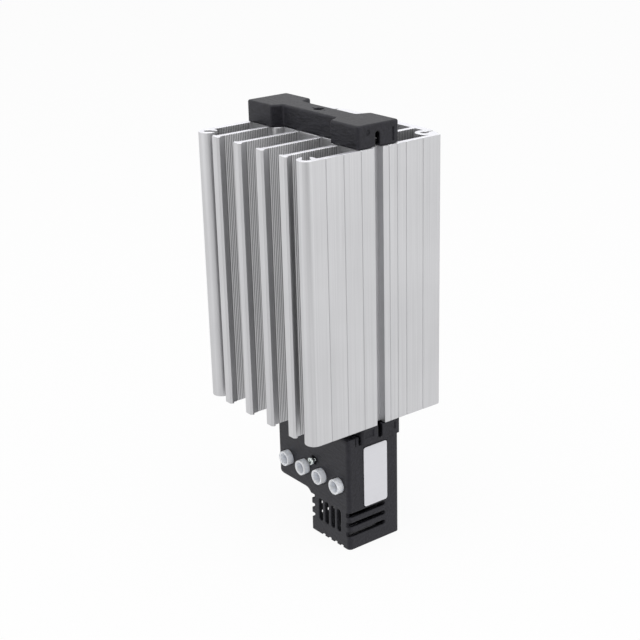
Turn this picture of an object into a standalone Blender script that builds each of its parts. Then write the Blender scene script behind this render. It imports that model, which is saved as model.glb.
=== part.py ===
"""Enclosure heater: a ribbed aluminium extrusion with heating stones in its core.

The extrusion stands upright. The label side faces +X, the open fins and the
wire entries face -Y, and the rail clip is on the closed back, at +Y. The
origin is the middle of the face that lies against the mounting rail.
Units are metres.
"""

import math

import bmesh
import bpy
from mathutils import Matrix, Vector
from mathutils.geometry import interpolate_bezier

MM = 0.001

# Gap between two pieces that touch, and the running gap round a sliding piece
SEAT_GAP = 0.3 * MM
RUNNING_GAP = 0.3 * MM

# Extrusion
PROFILE_WIDTH = 70.0 * MM
PROFILE_DEPTH = 67.5 * MM
PROFILE_LENGTH = 110.0 * MM
PLATE_WALL = 2.4 * MM
BACK_WALL = 3.3 * MM
FIN_WALL = 2.4 * MM
FINS_EACH_SIDE = 2
FRONT_SIDE_GAP = 9.95 * MM
REAR_SIDE_GAP = 12.2 * MM
BEAD_WIDTH = 4.5 * MM
BEAD_DEPTH = 2.0 * MM
BEAD_CHAMFER = 0.8 * MM
RIB_PITCH = 0.8 * MM
RIB_DEPTH = 0.35 * MM
RIB_MARGIN = 1.6 * MM
PLATE_SLOT = 4.0 * MM
PLATE_SLOT_DEPTH = 3.0 * MM
PLATE_SLOT_FLOOR = 1.8 * MM
LINE_WIDTH = 0.5 * MM
LINE_DEPTH = 0.3 * MM
FRONT_LINE_PITCH = 8.07 * MM
REAR_LINE_FIRST = 5.0 * MM
REAR_LINE_PITCH = 8.3 * MM
REAR_LINE_TWIN = 3.9 * MM

# Core of the extrusion: a flat chamber for the stones between two end boxes
CHAMBER_END_WALL = 3.05 * MM
CHAMBER_DEPTH = 5.6 * MM
CHAMBER_CORNER = 0.8 * MM
CORE_WALL = 2.1 * MM
END_BOX_DEPTH = 12.8 * MM
CORE_BOSS_RADIUS = 3.1 * MM
CORE_BOSS_INSET = 0.4 * MM
CORE_BOSS_Y = 5.5 * MM
CORE_SCREW_HOLE = 1.45 * MM

# Corner screw channels
FRONT_BOSS_RADIUS = 3.7 * MM
FRONT_BOSS_HOLE = 1.6 * MM
FRONT_BOSS_GAP = 2.6 * MM
FRONT_BOSS_TURN = math.radians(145.0)
REAR_BOSS_RADIUS = 3.8 * MM
REAR_BOSS_HOLE = 1.65 * MM
REAR_BOSS_FROM_SIDE = 6.6 * MM
REAR_BOSS_FROM_BACK = 5.6 * MM
REAR_BOSS_SLIT = 1.4 * MM
BACK_CORNER_FILLET = 1.0 * MM
BACK_BEVEL_ALONG_X = 9.8 * MM
BACK_BEVEL_ALONG_Y = 4.0 * MM

# End caps of black plastic
CAP_END_INSET = 0.6 * MM
CAP_END_FRONT = 9.2 * MM
CAP_END_REAR = 10.3 * MM
CAP_WAIST_DEPTH = 9.6 * MM
CAP_END_LENGTH = 17.0 * MM
CAP_SHOULDER = 3.2 * MM
CAP_CORNER = 1.2 * MM
CAP_INNER_CORNER = 0.4 * MM
CAP_WALL = 1.8 * MM
CAP_EDGE = 0.8 * MM
TOP_CAP_HEIGHT = 8.5 * MM
BOTTOM_CAP_HEIGHT = 6.3 * MM
CAP_POST = 9.0 * MM
CAP_SLOT_WIDTH = 2.2 * MM
CAP_SLOT_HEIGHT = 5.6 * MM
CAP_SLOT_DEPTH = 3.0 * MM
CAP_PIN_HOLE = 1.1 * MM
CAP_PIN_HOLE_Y = -4.5 * MM
CAP_PIN_HOLE_Z = 5.6 * MM
CAP_GROOVE_WIDTH = 1.1 * MM
CAP_GROOVE_Y = 7.3 * MM
CAP_GROOVE_ENDS = (1.0 * MM, 2.4 * MM)
CAP_PANEL_LOW = -7.8 * MM
CAP_PANEL_HIGH = -3.3 * MM
CAP_PANEL_DEPTH = 0.4 * MM
CAP_SCREW_BORE = 2.1 * MM
CAP_SCREW_FLOOR = 2.6 * MM
CAP_MARK_OFFSET = 3.4 * MM
CAP_MARK_RADIUS = 0.5 * MM
CAP_MARK_DEPTH = 1.2 * MM
LEAD_PASSAGE_CLEARANCE = 0.9 * MM
PASSAGE_CORNER = 1.0 * MM

# Screws: head radius, head height, shaft radius
CAP_SCREW = (1.8 * MM, 1.2 * MM, 0.9 * MM)
BASE_SCREW = (2.4 * MM, 1.6 * MM, 1.15 * MM)
HOUSING_SCREW = (1.6 * MM, 1.3 * MM, 1.0 * MM)
CLIP_SCREW = (2.6 * MM, 1.5 * MM, 1.2 * MM)
BASE_SCREW_LENGTH = 12.0 * MM
BASE_SCREW_SINK = 0.2 * MM
BASE_BOSS_WALL = 1.0 * MM
CAP_SCREW_LENGTH = 9.0 * MM
CLIP_SCREW_LENGTH = 6.5 * MM
SCREW_SIDES = 20

# Terminal housing below the extrusion
HOUSING_SIDE_INSET = 2.0 * MM
HOUSING_WIDTH = 46.1 * MM
HOUSING_FRONT = -15.4 * MM
HOUSING_REAR = 10.6 * MM
BODY_HEIGHT = 26.5 * MM
HOUSING_WALL = 1.5 * MM
HOUSING_CORNER = 1.6 * MM
HOUSING_INNER_CORNER = 0.5 * MM
HOUSING_SHOULDER = 1.6 * MM
LIP_RISE = 3.5 * MM
LIP_GAP = 0.6 * MM
LIP_GROOVE_BACK = 4.0 * MM
LIP_GROOVE_WIDTH = 0.5 * MM
LIP_GROOVE_DEPTH = 0.4 * MM
THROAT_COVER = 0.6 * MM
HOUSING_EDGE = 1.0 * MM
FOOT_WIDTH = 23.9 * MM
FOOT_HEIGHT = 18.0 * MM
FOOT_FILLET = 4.0 * MM
WING_CORNER = 3.0 * MM

# Wire entries and their release collars
ENTRY_COUNT = 4
ENTRY_SIDE_INSET = 6.3 * MM
ENTRY_FAR_INSET = 6.8 * MM
ENTRY_ABOVE_STEP = 8.7 * MM
COLLAR_RADIUS = 3.1 * MM
COLLAR_BORE = 2.2 * MM
COLLAR_REACH = 2.6 * MM
COLLAR_RIM = 0.3 * MM
COLLAR_FLANGE = 4.1 * MM
COLLAR_FLANGE_WALL = 1.0 * MM
COLLAR_TAIL_RADIUS = 2.6 * MM
COLLAR_TAIL_BORE = 1.9 * MM
COLLAR_FLAT = 0.02 * MM
COLLAR_TAIL = 3.4 * MM
COLLAR_TRAVEL = 1.8 * MM
COLLAR_SIDES = 24

# Clamp carrier behind the collars
CARRIER_SIDE_GAP = 0.3 * MM
CARRIER_DEPTH = 14.8 * MM
CARRIER_BELOW = 6.0 * MM
CARRIER_ABOVE = 7.2 * MM
CARRIER_BORE_DEPTH = 4.3 * MM
POCKET_WIDTH = 5.6 * MM
POCKET_BELOW = 4.2 * MM
POCKET_ABOVE = 4.2 * MM
STEM_WIDTH = 10.0 * MM
STEM_DEPTH = 5.0 * MM
SPRING_WIDTH = 4.8 * MM
SPRING_WALL = 0.5 * MM
SPRING_BEND = 2.2 * MM
SPRING_TIP_GAP = 2.0 * MM
BAR_WALL = 0.8 * MM
BAR_HEIGHT = 5.0 * MM
BAR_TAB = 4.0 * MM

# Screw between the second and the third collar
FACE_SCREW_OFFSET = 0.9 * MM
FACE_SCREW_ABOVE_ENTRY = 5.2 * MM
FACE_SCREW_STAND = 2.2 * MM
FACE_SCREW_POCKET = 1.9 * MM
FACE_SCREW_POCKET_DEPTH = 1.1 * MM
FACE_SCREW_BITE = 4.0 * MM
FACE_SCREW_HOLE = 6.0 * MM

# Vents of the foot
FRONT_VENT_COUNT = 4
FRONT_VENT_PITCH = 3.9 * MM
FRONT_VENT_OFFSET = -0.3 * MM
FRONT_VENT_WIDTH = 2.5 * MM
FRONT_VENT_LOW = 6.0 * MM
FRONT_VENT_BELOW_STEP = 2.0 * MM
SIDE_VENT_COUNT = 3
SIDE_VENT_LOWEST = 6.7 * MM
SIDE_VENT_BELOW_STEP = 2.8 * MM
SIDE_VENT_WIDTH = 2.0 * MM
SIDE_VENT_END = 3.2 * MM
FLOOR_VENT_FRONT = -11.5 * MM
FLOOR_VENT_REAR = 5.5 * MM
FLOOR_VENT_WIDTH = 2.0 * MM
FLOOR_VENT_SHIFT = 1.5 * MM
FLOOR_NOTCH = 0.8 * MM

# Rating label, left blank
LABEL_FRONT = -7.5 * MM
LABEL_REAR = 4.3 * MM
LABEL_BELOW_STEP = 1.1 * MM
LABEL_BELOW_TOP = 1.8 * MM
LABEL_RECESS = 0.4 * MM
LABEL_WALL = 0.25 * MM
LABEL_CORNER = 1.0 * MM

# Heating stack in the chamber
STONE_COUNT = 4
STONE_EDGE = 1.5 * MM
STONE_GAP = 4.0 * MM
STACK_END = 5.0 * MM
STACK_CLEARANCE = 0.4 * MM
ELECTRODE_EDGE = 3.1 * MM
ELECTRODE_WALL = 0.5 * MM
ELECTRODE_MARGIN = 4.0 * MM
TAB_WIDTH = 4.0 * MM
TAB_SPACING = 10.7 * MM
TAB_REACH = 3.0 * MM
FILM_WALL = 0.2 * MM
FILM_BEND = 0.5 * MM
FILM_MARGIN = 3.0 * MM
ANCHOR_HEIGHT = 8.0 * MM
LEAD_RADIUS = 0.9 * MM
LEAD_BEND_SHARE = 0.65
LEAD_END_STRAIGHT = 1.2 * MM
BAR_TAB_RISE = 2.0 * MM

# Clip for a 35 mm rail
RAIL_HEIGHT = 35.0 * MM
RAIL_LIP = 1.0 * MM
CLIP_WIDTH = 24.0 * MM
CLIP_WALL = 2.5 * MM
CLIP_HOOK_GAP = 0.4 * MM
CLIP_HOOK_WALL = 1.6 * MM
CLIP_HOOK_LAP = 2.2 * MM
CLIP_HOOK_ROOT = 2.6 * MM
CLIP_FOOT = 6.0 * MM
CLIP_SCREW_SPACING = 16.0 * MM
CLIP_SCREW_SINK = 0.1 * MM

# Cutting shapes run past the faces they cut by this much
PAST = 1.0 * MM

# Widths that follow from the extrusion's
HALF_WIDTH = PROFILE_WIDTH / 2
HALF_DEPTH = PROFILE_DEPTH / 2
PLATE_INNER = HALF_WIDTH - PLATE_WALL
FIN_GAPS = 2 * FINS_EACH_SIDE - 1
FRONT_FIN_PITCH = (2 * (PLATE_INNER - FRONT_SIDE_GAP) - FIN_WALL) / FIN_GAPS
REAR_FIN_PITCH = (2 * (PLATE_INNER - REAR_SIDE_GAP) - FIN_WALL) / FIN_GAPS
FRONT_FINS = [FRONT_FIN_PITCH * (i + 0.5) for i in range(FINS_EACH_SIDE)]
REAR_FINS = [REAR_FIN_PITCH * (i + 0.5) for i in range(FINS_EACH_SIDE)]
END_BOX_LEFT = PLATE_INNER - FRONT_SIDE_GAP
CHAMBER_WIDTH = 2 * (END_BOX_LEFT - CHAMBER_END_WALL)
CORE_BOSS_X = CHAMBER_WIDTH / 2 - CORE_BOSS_INSET
CORE_HALF = CHAMBER_DEPTH / 2 + CORE_WALL
END_BOX_HALF = END_BOX_DEPTH / 2
END_BOX_OUTER = END_BOX_HALF + CORE_WALL
SLOT_FLOOR_X = HALF_WIDTH - PLATE_SLOT_DEPTH
END_BOX_RIGHT = SLOT_FLOOR_X - PLATE_SLOT_FLOOR
BACK_INNER = HALF_DEPTH - BACK_WALL
STACK_SKIN = ELECTRODE_WALL + FILM_WALL + 2 * SEAT_GAP + STACK_CLEARANCE
STONE_WALL = CHAMBER_DEPTH - 2 * STACK_SKIN
STACK_HALF = (PROFILE_LENGTH - ANCHOR_HEIGHT) / 2 - STACK_END
STONE_PITCH = (2 * (STACK_HALF - ELECTRODE_MARGIN) + STONE_GAP) / STONE_COUNT
STONE_HEIGHT = STONE_PITCH - STONE_GAP
ELECTRODE_WIDTH = CHAMBER_WIDTH - 2 * ELECTRODE_EDGE
STONE_WIDTH = ELECTRODE_WIDTH - 2 * STONE_EDGE
HOUSING_RIGHT = HALF_WIDTH - HOUSING_SIDE_INSET
HOUSING_LEFT = HOUSING_RIGHT - HOUSING_WIDTH
THROAT_LEFT = HOUSING_LEFT + HOUSING_WALL
LINE_TAB_X = THROAT_LEFT / 2
NEUTRAL_TAB_X = LINE_TAB_X + TAB_SPACING
FOOT_LEFT = HOUSING_RIGHT - FOOT_WIDTH

# Levels, measured from the floor of the foot
HOUSING_HEIGHT = FOOT_HEIGHT + BODY_HEIGHT
LIP_TOP = HOUSING_HEIGHT + LIP_RISE
LIP_REAR = -CAP_END_FRONT - LIP_GAP
ENTRY_Z = FOOT_HEIGHT + ENTRY_ABOVE_STEP
LABEL_LOW = FOOT_HEIGHT - LABEL_BELOW_STEP
LABEL_HIGH = HOUSING_HEIGHT - LABEL_BELOW_TOP
CAP_BASE_Z = HOUSING_HEIGHT + SEAT_GAP
PROFILE_Z = CAP_BASE_Z + BOTTOM_CAP_HEIGHT + SEAT_GAP
PROFILE_TOP = PROFILE_Z + PROFILE_LENGTH
TOP_CAP_Z = PROFILE_TOP + SEAT_GAP
RAIL_Z = PROFILE_Z + PROFILE_LENGTH / 2
CLIP_Y = PROFILE_DEPTH / 2 + SEAT_GAP
RAIL_Y = CLIP_Y + CLIP_WALL
STRIP_Y = STONE_WALL / 2 + SEAT_GAP + ELECTRODE_WALL / 2

TAB_END = PROFILE_Z - TAB_REACH

ENTRY_LAST = HOUSING_RIGHT - ENTRY_SIDE_INSET
ENTRY_SPAN = HOUSING_WIDTH - ENTRY_SIDE_INSET - ENTRY_FAR_INSET
ENTRY_PITCH = ENTRY_SPAN / (ENTRY_COUNT - 1)
ENTRY_X = [ENTRY_LAST - (ENTRY_COUNT - 1 - i) * ENTRY_PITCH for i in range(ENTRY_COUNT)]
FACE_SCREW_X = (ENTRY_X[1] + ENTRY_X[2]) / 2 + FACE_SCREW_OFFSET
FACE_SCREW_Z = ENTRY_Z + FACE_SCREW_ABOVE_ENTRY
STEM_X = (ENTRY_X[2] + ENTRY_X[3]) / 2


# Scene and collections
for old in list(bpy.data.objects):
    bpy.data.objects.remove(old, do_unlink=True)

PARTS = bpy.data.collections.new("enclosure_heater")
CUTTERS = bpy.data.collections.new("cutters")
bpy.context.scene.collection.children.link(PARTS)
bpy.context.scene.collection.children.link(CUTTERS)

FRAME = bpy.data.objects.new("rail_seat_frame", None)
FRAME.location = (0.0, -RAIL_Y, -RAIL_Z)
PARTS.objects.link(FRAME)


def material(name, colour, roughness, metallic=0.0):
    """A plain Principled material."""
    made = bpy.data.materials.new(name)
    made.use_nodes = True
    shader = made.node_tree.nodes["Principled BSDF"]
    shader.inputs["Base Color"].default_value = (*colour, 1.0)
    shader.inputs["Roughness"].default_value = roughness
    shader.inputs["Metallic"].default_value = metallic
    return made


ANODISED = material("anodised_aluminium", (0.60, 0.60, 0.63), 0.42, 1.0)
BLACK_PLASTIC = material("black_plastic", (0.035, 0.035, 0.038), 0.55)
WHITE_PLASTIC = material("white_plastic", (0.80, 0.82, 0.85), 0.40)
LABEL_FILM = material("label_film", (0.70, 0.70, 0.73), 0.50)
ZINC_STEEL = material("zinc_plated_steel", (0.62, 0.63, 0.60), 0.30, 1.0)
SPRING_STEEL = material("spring_steel", (0.55, 0.55, 0.55), 0.25, 1.0)
TINNED_BRASS = material("tinned_brass", (0.70, 0.68, 0.60), 0.30, 1.0)
STONE_CERAMIC = material("stone_ceramic", (0.25, 0.22, 0.20), 0.70)
AMBER_FILM = material("amber_film", (0.60, 0.30, 0.06), 0.30)
RED_SILICONE = material("red_silicone", (0.55, 0.05, 0.04), 0.55)


def keep(obj, name, finish):
    """File a finished piece under its name, carried by the shared frame."""
    obj.name = name
    obj.data.name = name
    obj.data.materials.clear()
    obj.data.materials.append(finish)
    for home in list(obj.users_collection):
        home.objects.unlink(obj)
    PARTS.objects.link(obj)
    obj.parent = FRAME
    return obj


def cutter(obj):
    """File a cutting shape out of sight."""
    for home in list(obj.users_collection):
        home.objects.unlink(obj)
    CUTTERS.objects.link(obj)
    obj.parent = FRAME
    obj.hide_render = True
    obj.display_type = "WIRE"
    return obj


def combine(obj, other, operation):
    """Add a Boolean of another shape to a piece."""
    tool = obj.modifiers.new(operation.lower(), "BOOLEAN")
    tool.operation = operation
    tool.solver = "EXACT"
    tool.object = cutter(other)
    return obj


def cut(obj, *shapes):
    """Cut each shape out of a piece."""
    for shape in shapes:
        combine(obj, shape, "DIFFERENCE")
    return obj


def soften(obj, width, segments=2, angle=50.0):
    """Round the sharp edges of a piece."""
    tool = obj.modifiers.new("edges", "BEVEL")
    tool.width = width
    tool.segments = segments
    tool.limit_method = "ANGLE"
    tool.angle_limit = math.radians(angle)
    return obj


AXIS_TURN = {
    "X": Matrix(((0, 0, 1), (1, 0, 0), (0, 1, 0))),
    "Y": Matrix(((1, 0, 0), (0, 0, -1), (0, 1, 0))),
    "Z": Matrix.Identity(3),
}


def prism(name, loops, low, high, axis="Z"):
    """A flat outline with its holes, extruded from low to high along an axis.

    The outline is in XY for axis Z, in XZ for axis Y and in YZ for axis X.
    """
    curve = bpy.data.curves.new(name, "CURVE")
    curve.dimensions = "2D"
    curve.fill_mode = "BOTH"
    curve.extrude = (high - low) / 2
    for loop in loops:
        spline = curve.splines.new("POLY")
        spline.points.add(len(loop) - 1)
        spline.use_cyclic_u = True
        for point, (u, v) in zip(spline.points, loop):
            point.co = (u, v, 0.0, 1.0)
    drawn = bpy.data.objects.new(name, curve)
    PARTS.objects.link(drawn)
    bpy.context.view_layer.update()
    view = bpy.context.evaluated_depsgraph_get()
    mesh = bpy.data.meshes.new_from_object(drawn.evaluated_get(view))
    bpy.data.objects.remove(drawn, do_unlink=True)
    bpy.data.curves.remove(curve)
    work = bmesh.new()
    work.from_mesh(mesh)
    bmesh.ops.remove_doubles(work, verts=work.verts, dist=1e-7)
    bmesh.ops.recalc_face_normals(work, faces=work.faces)
    work.to_mesh(mesh)
    work.free()
    obj = bpy.data.objects.new(name, mesh)
    obj.rotation_euler = AXIS_TURN[axis].to_euler()
    middle = (low + high) / 2
    along = {"X": (middle, 0, 0), "Y": (0, middle, 0), "Z": (0, 0, middle)}
    obj.location = along[axis]
    PARTS.objects.link(obj)
    return obj


def turned(name, outline, sides, place, axis="Z"):
    """A turned shape: (radius, height) points down the outside, then closed."""
    mesh = bpy.data.meshes.new(name)
    work = bmesh.new()
    rim = [work.verts.new((r, 0.0, h)) for r, h in outline]
    for a, b in zip(rim, rim[1:]):
        work.edges.new((a, b))
    if outline[0][0] > 0.0 and outline[-1][0] > 0.0:
        work.edges.new((rim[-1], rim[0]))
    work.to_mesh(mesh)
    work.free()
    obj = bpy.data.objects.new(name, mesh)
    spin = obj.modifiers.new("spin", "SCREW")
    spin.steps = sides
    spin.render_steps = sides
    spin.use_merge_vertices = True
    spin.merge_threshold = 1e-6
    PARTS.objects.link(obj)
    obj.rotation_euler = AXIS_TURN[axis].to_euler()
    obj.location = place
    return obj


def arc(cx, cy, radius, start, end, steps):
    """Points on an arc, both ends included; angles in radians."""
    points = []
    for i in range(steps + 1):
        a = start + (end - start) * i / steps
        points.append((cx + radius * math.cos(a), cy + radius * math.sin(a)))
    return points


def circle(cx, cy, radius, sides=16):
    """Points round a circle."""
    return arc(cx, cy, radius, 0.0, 2 * math.pi * (1 - 1 / sides), sides - 1)


def rounded_box(x0, x1, y0, y1, radius, steps=4):
    """A rectangle with rounded corners."""
    quarter = math.pi / 2
    corners = ((x1, y1, 0), (x0, y1, 1), (x0, y0, 2), (x1, y0, 3))
    points = []
    for x, y, turn in corners:
        cx = x - radius if x == x1 else x + radius
        cy = y - radius if y == y1 else y + radius
        points += arc(cx, cy, radius, turn * quarter, (turn + 1) * quarter, steps)
    return points


def box(x0, x1, y0, y1):
    """A plain rectangle."""
    return [(x0, y0), (x1, y0), (x1, y1), (x0, y1)]


def capsule(u, v, length, width, upright, steps=6):
    """A slot outline with round ends, centred at (u, v)."""
    r = width / 2
    half = length / 2 - r
    if upright:
        return arc(u, v + half, r, 0, math.pi, steps) + arc(
            u, v - half, r, math.pi, 2 * math.pi, steps
        )
    quarter = math.pi / 2
    return arc(u + half, v, r, -quarter, quarter, steps) + arc(
        u - half, v, r, quarter, 3 * quarter, steps
    )


def ribbed(x, start, end, inward):
    """A ribbed face along Y at x: valleys go inward by the rib depth."""
    length = abs(end - start)
    count = int(length / RIB_PITCH)
    if count < 1:
        return []
    way = 1.0 if end > start else -1.0
    spare = (length - count * RIB_PITCH) / 2
    points = []
    for i in range(count):
        foot = start + way * (spare + i * RIB_PITCH)
        points.append((x, foot))
        points.append((x + inward * RIB_DEPTH, foot + way * RIB_PITCH / 2))
    points.append((x, end - way * spare))
    return points


def front_fin(centre, root_left, root_right):
    """One fin from its left root round the bead to its right root."""
    half = FIN_WALL / 2
    tip = -HALF_DEPTH
    neck = tip + BEAD_DEPTH
    step = neck - (BEAD_WIDTH - FIN_WALL) / 4
    smooth = neck + RIB_MARGIN
    left = centre - half
    right = centre + half
    wide = BEAD_WIDTH / 2
    points = [(left, root_left)]
    points += ribbed(left, root_left - RIB_MARGIN / 2, smooth, 1.0)
    points += [(left, neck), (centre - wide, step)]
    points += [(centre - wide, tip + BEAD_CHAMFER), (centre - wide + BEAD_CHAMFER, tip)]
    points += [(centre + wide - BEAD_CHAMFER, tip), (centre + wide, tip + BEAD_CHAMFER)]
    points += [(centre + wide, step), (right, neck)]
    points += ribbed(right, smooth, root_right - RIB_MARGIN / 2, -1.0)
    points += [(right, root_right)]
    return points


def core_boss_front(wall_x):
    """The screw channel's round back, from the core wall to the last fin."""
    start = math.pi - math.asin((CORE_BOSS_Y - CORE_HALF) / CORE_BOSS_RADIUS)
    end = 2 * math.pi - math.acos((wall_x - CORE_BOSS_X) / CORE_BOSS_RADIUS)
    return arc(CORE_BOSS_X, -CORE_BOSS_Y, CORE_BOSS_RADIUS, start, end, 8)


def front_corner():
    """The corner's screw channel, open towards the inside of the extrusion."""
    cx = HALF_WIDTH - FRONT_BOSS_RADIUS
    cy = -HALF_DEPTH + FRONT_BOSS_RADIUS
    outer = FRONT_BOSS_RADIUS
    turn = FRONT_BOSS_TURN
    half_gap = FRONT_BOSS_GAP / 2
    out = math.asin(half_gap / outer)
    hole = math.asin(half_gap / FRONT_BOSS_HOLE)
    meet = math.acos((PLATE_INNER - cx) / outer)
    points = arc(cx, cy, outer, meet, turn - out, 5)
    points += arc(cx, cy, FRONT_BOSS_HOLE, turn - hole, turn + hole - 2 * math.pi, 12)
    points += arc(cx, cy, outer, turn + out, 2 * math.pi, 14)
    return points, cy + outer * math.sin(meet)


def die_lines(x, places):
    """Fine lines that the die leaves along the outer face of a side plate."""
    points = []
    for place in sorted(places):
        points.append((x, place - LINE_WIDTH / 2))
        points.append((x - LINE_DEPTH, place))
        points.append((x, place + LINE_WIDTH / 2))
    return points


def front_line_places():
    """Lines between the round front corner and the plate's slot."""
    last = HALF_DEPTH - FRONT_BOSS_RADIUS - LINE_WIDTH
    count = int(last / FRONT_LINE_PITCH)
    return [-(i + 1) * FRONT_LINE_PITCH for i in range(count)]


def rear_line_places():
    """Lines between the plate's slot and the back corner."""
    last = HALF_DEPTH - BACK_BEVEL_ALONG_Y - LINE_WIDTH
    count = int((last - REAR_LINE_FIRST) / REAR_LINE_PITCH) + 1
    places = [REAR_LINE_FIRST + i * REAR_LINE_PITCH for i in range(count)]
    return places + [REAR_LINE_FIRST + REAR_LINE_TWIN]


def back_corner():
    """The bevelled back corner with its slit screw channel."""
    cx = HALF_WIDTH - REAR_BOSS_FROM_SIDE
    cy = HALF_DEPTH - REAR_BOSS_FROM_BACK
    corner_y = HALF_DEPTH - BACK_BEVEL_ALONG_Y
    bevel_x = HALF_WIDTH - BACK_BEVEL_ALONG_X
    fillet = BACK_CORNER_FILLET
    slope = (HALF_DEPTH - corner_y - fillet) / (bevel_x - HALF_WIDTH + fillet)
    half = REAR_BOSS_SLIT / 2

    def bevel(x):
        return corner_y + fillet + slope * (x - HALF_WIDTH + fillet)

    mouth = math.asin(half / REAR_BOSS_HOLE)
    quarter = math.pi / 2
    points = arc(HALF_WIDTH - fillet, corner_y, fillet, 0.0, quarter * 0.8, 3)
    points += [(cx + half, bevel(cx + half))]
    points += arc(cx, cy, REAR_BOSS_HOLE, quarter - mouth, quarter + mouth - 4 * quarter, 12)
    points += [(cx - half, bevel(cx - half)), (bevel_x, HALF_DEPTH)]
    return points


def right_half():
    """The open outline from the middle of the front to the middle of the back."""
    points = []
    for i, centre in enumerate(FRONT_FINS):
        last = i == FINS_EACH_SIDE - 1
        left = -CORE_HALF
        if last:
            boss = core_boss_front(centre - FIN_WALL / 2)
            points += boss[:-1]
            left = boss[-1][1]
        right = -END_BOX_OUTER if last else -CORE_HALF
        points += front_fin(centre, left, right)
    corner, boss_top = front_corner()
    root = -END_BOX_OUTER
    points += [(PLATE_INNER, root)]
    points += ribbed(PLATE_INNER, root - RIB_MARGIN / 2, boss_top + RIB_MARGIN / 2, 1.0)
    points += corner
    slot = PLATE_SLOT / 2
    points += die_lines(HALF_WIDTH, front_line_places())
    points += [(HALF_WIDTH, -slot), (SLOT_FLOOR_X, -slot)]
    points += [(SLOT_FLOOR_X, slot), (HALF_WIDTH, slot)]
    points += die_lines(HALF_WIDTH, rear_line_places())
    points += back_corner()
    return points


def mirrored(points):
    """The same outline on the other side, run backwards."""
    return [(-x, y) for x, y in reversed(points)]


def rear_cells():
    """The closed ducts between the core and the back wall, right half."""
    low = RIB_MARGIN / 2
    half = FIN_WALL / 2
    top = BACK_INNER
    inner, outer = REAR_FINS[0], REAR_FINS[-1]
    middle = [(inner - half, CORE_HALF)]
    middle += ribbed(inner - half, CORE_HALF + low, top - low, 1.0)
    middle += [(inner - half, top)]
    middle_cell = middle + mirrored(middle)

    wall = outer - half
    start = math.acos((wall - CORE_BOSS_X) / CORE_BOSS_RADIUS)
    end = math.pi + math.asin((CORE_BOSS_Y - CORE_HALF) / CORE_BOSS_RADIUS)
    boss = arc(CORE_BOSS_X, CORE_BOSS_Y, CORE_BOSS_RADIUS, start, end, 8)
    second = [(inner + half, CORE_HALF)]
    second += ribbed(inner + half, CORE_HALF + low, top - low, -1.0)
    second += [(inner + half, top), (wall, top)]
    second += ribbed(wall, top - low, boss[0][1] + low, 1.0)
    second += boss

    cx = HALF_WIDTH - REAR_BOSS_FROM_SIDE
    cy = HALF_DEPTH - REAR_BOSS_FROM_BACK
    side = math.asin((top - cy) / REAR_BOSS_RADIUS)
    third = [(outer + half, END_BOX_OUTER)]
    third += ribbed(outer + half, END_BOX_OUTER + low, top - low, -1.0)
    third += [(outer + half, top)]
    third += arc(cx, cy, REAR_BOSS_RADIUS, math.pi - side, 2 * math.pi - 0.25, 10)
    third += [(PLATE_INNER, cy - REAR_BOSS_RADIUS * 0.4)]
    third += ribbed(PLATE_INNER, cy - REAR_BOSS_RADIUS, END_BOX_OUTER + low, 1.0)
    third += [(PLATE_INNER, END_BOX_OUTER)]
    return middle_cell, second, third


def heatsink_profile():
    """The extrusion, cut to length, with two tapped holes in its back wall."""
    half = right_half()
    outer = half + mirrored(half)
    middle, second, third = rear_cells()
    chamber = rounded_box(
        -CHAMBER_WIDTH / 2,
        CHAMBER_WIDTH / 2,
        -CHAMBER_DEPTH / 2,
        CHAMBER_DEPTH / 2,
        CHAMBER_CORNER,
        2,
    )
    loops = [outer, chamber, middle, second, mirrored(second), third, mirrored(third)]
    end_box = box(END_BOX_LEFT, END_BOX_RIGHT, -END_BOX_HALF, END_BOX_HALF)
    loops += [end_box, mirrored(end_box)]
    for x in (-CORE_BOSS_X, CORE_BOSS_X):
        for y in (-CORE_BOSS_Y, CORE_BOSS_Y):
            loops.append(circle(x, y, CORE_SCREW_HOLE, 12))
    obj = prism("profile", loops, PROFILE_Z, PROFILE_TOP)
    head, height, shaft = CLIP_SCREW
    for z in clip_screw_levels():
        hole = [circle(0.0, z, shaft + SEAT_GAP, 12)]
        cut(obj, prism("clip_hole", hole, BACK_INNER - PAST, HALF_DEPTH + PAST, "Y"))
    return keep(obj, "heatsink_profile", ANODISED)


def clip_screw_levels():
    """Heights of the clip's two screws."""
    return [RAIL_Z - CLIP_SCREW_SPACING / 2, RAIL_Z + CLIP_SCREW_SPACING / 2]


def cap_quarter(end_y, inset):
    """A cap's outline from the middle of its end face back to the waist."""
    end_x = HALF_WIDTH - CAP_END_INSET - inset
    waist_y = CAP_WAIST_DEPTH / 2 - inset
    inner_x = HALF_WIDTH - CAP_END_INSET - CAP_END_LENGTH + inset
    corner = max(CAP_CORNER - inset, CAP_INNER_CORNER)
    bend = (end_y - waist_y) / 2
    run = CAP_SHOULDER / 2
    points = arc(end_x - corner, end_y - corner, corner, 0.0, math.pi / 2, 4)
    for i in range(9):
        t = i / 8
        ease = 0.5 - 0.5 * math.cos(math.pi * t)
        points.append((inner_x + run - 2 * run * t, end_y - 2 * bend * ease))
    return points


def cap_outline(inset=0.0):
    """The dumbbell plan of both end caps, drawn in by an inset."""
    rear = cap_quarter(CAP_END_REAR - inset, inset)
    front = cap_quarter(CAP_END_FRONT - inset, inset)
    half = [(x, -y) for x, y in reversed(front)] + rear
    return half + mirrored(half)


def cap_pocket(low, high):
    """The hollow underside of a cap, one pocket each side of the middle post."""
    inner = cap_outline(CAP_WALL)
    post = CAP_POST / 2
    halves = []
    for side in (-1, 1):
        pocket = prism("cap_pocket", [inner], low, high)
        reach = HALF_WIDTH * side
        block = box(min(post * side, reach), max(post * side, reach), -HALF_WIDTH, HALF_WIDTH)
        combine(pocket, prism("cap_half", [block], low - PAST, high + PAST), "INTERSECT")
        halves.append(pocket)
    return halves


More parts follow.
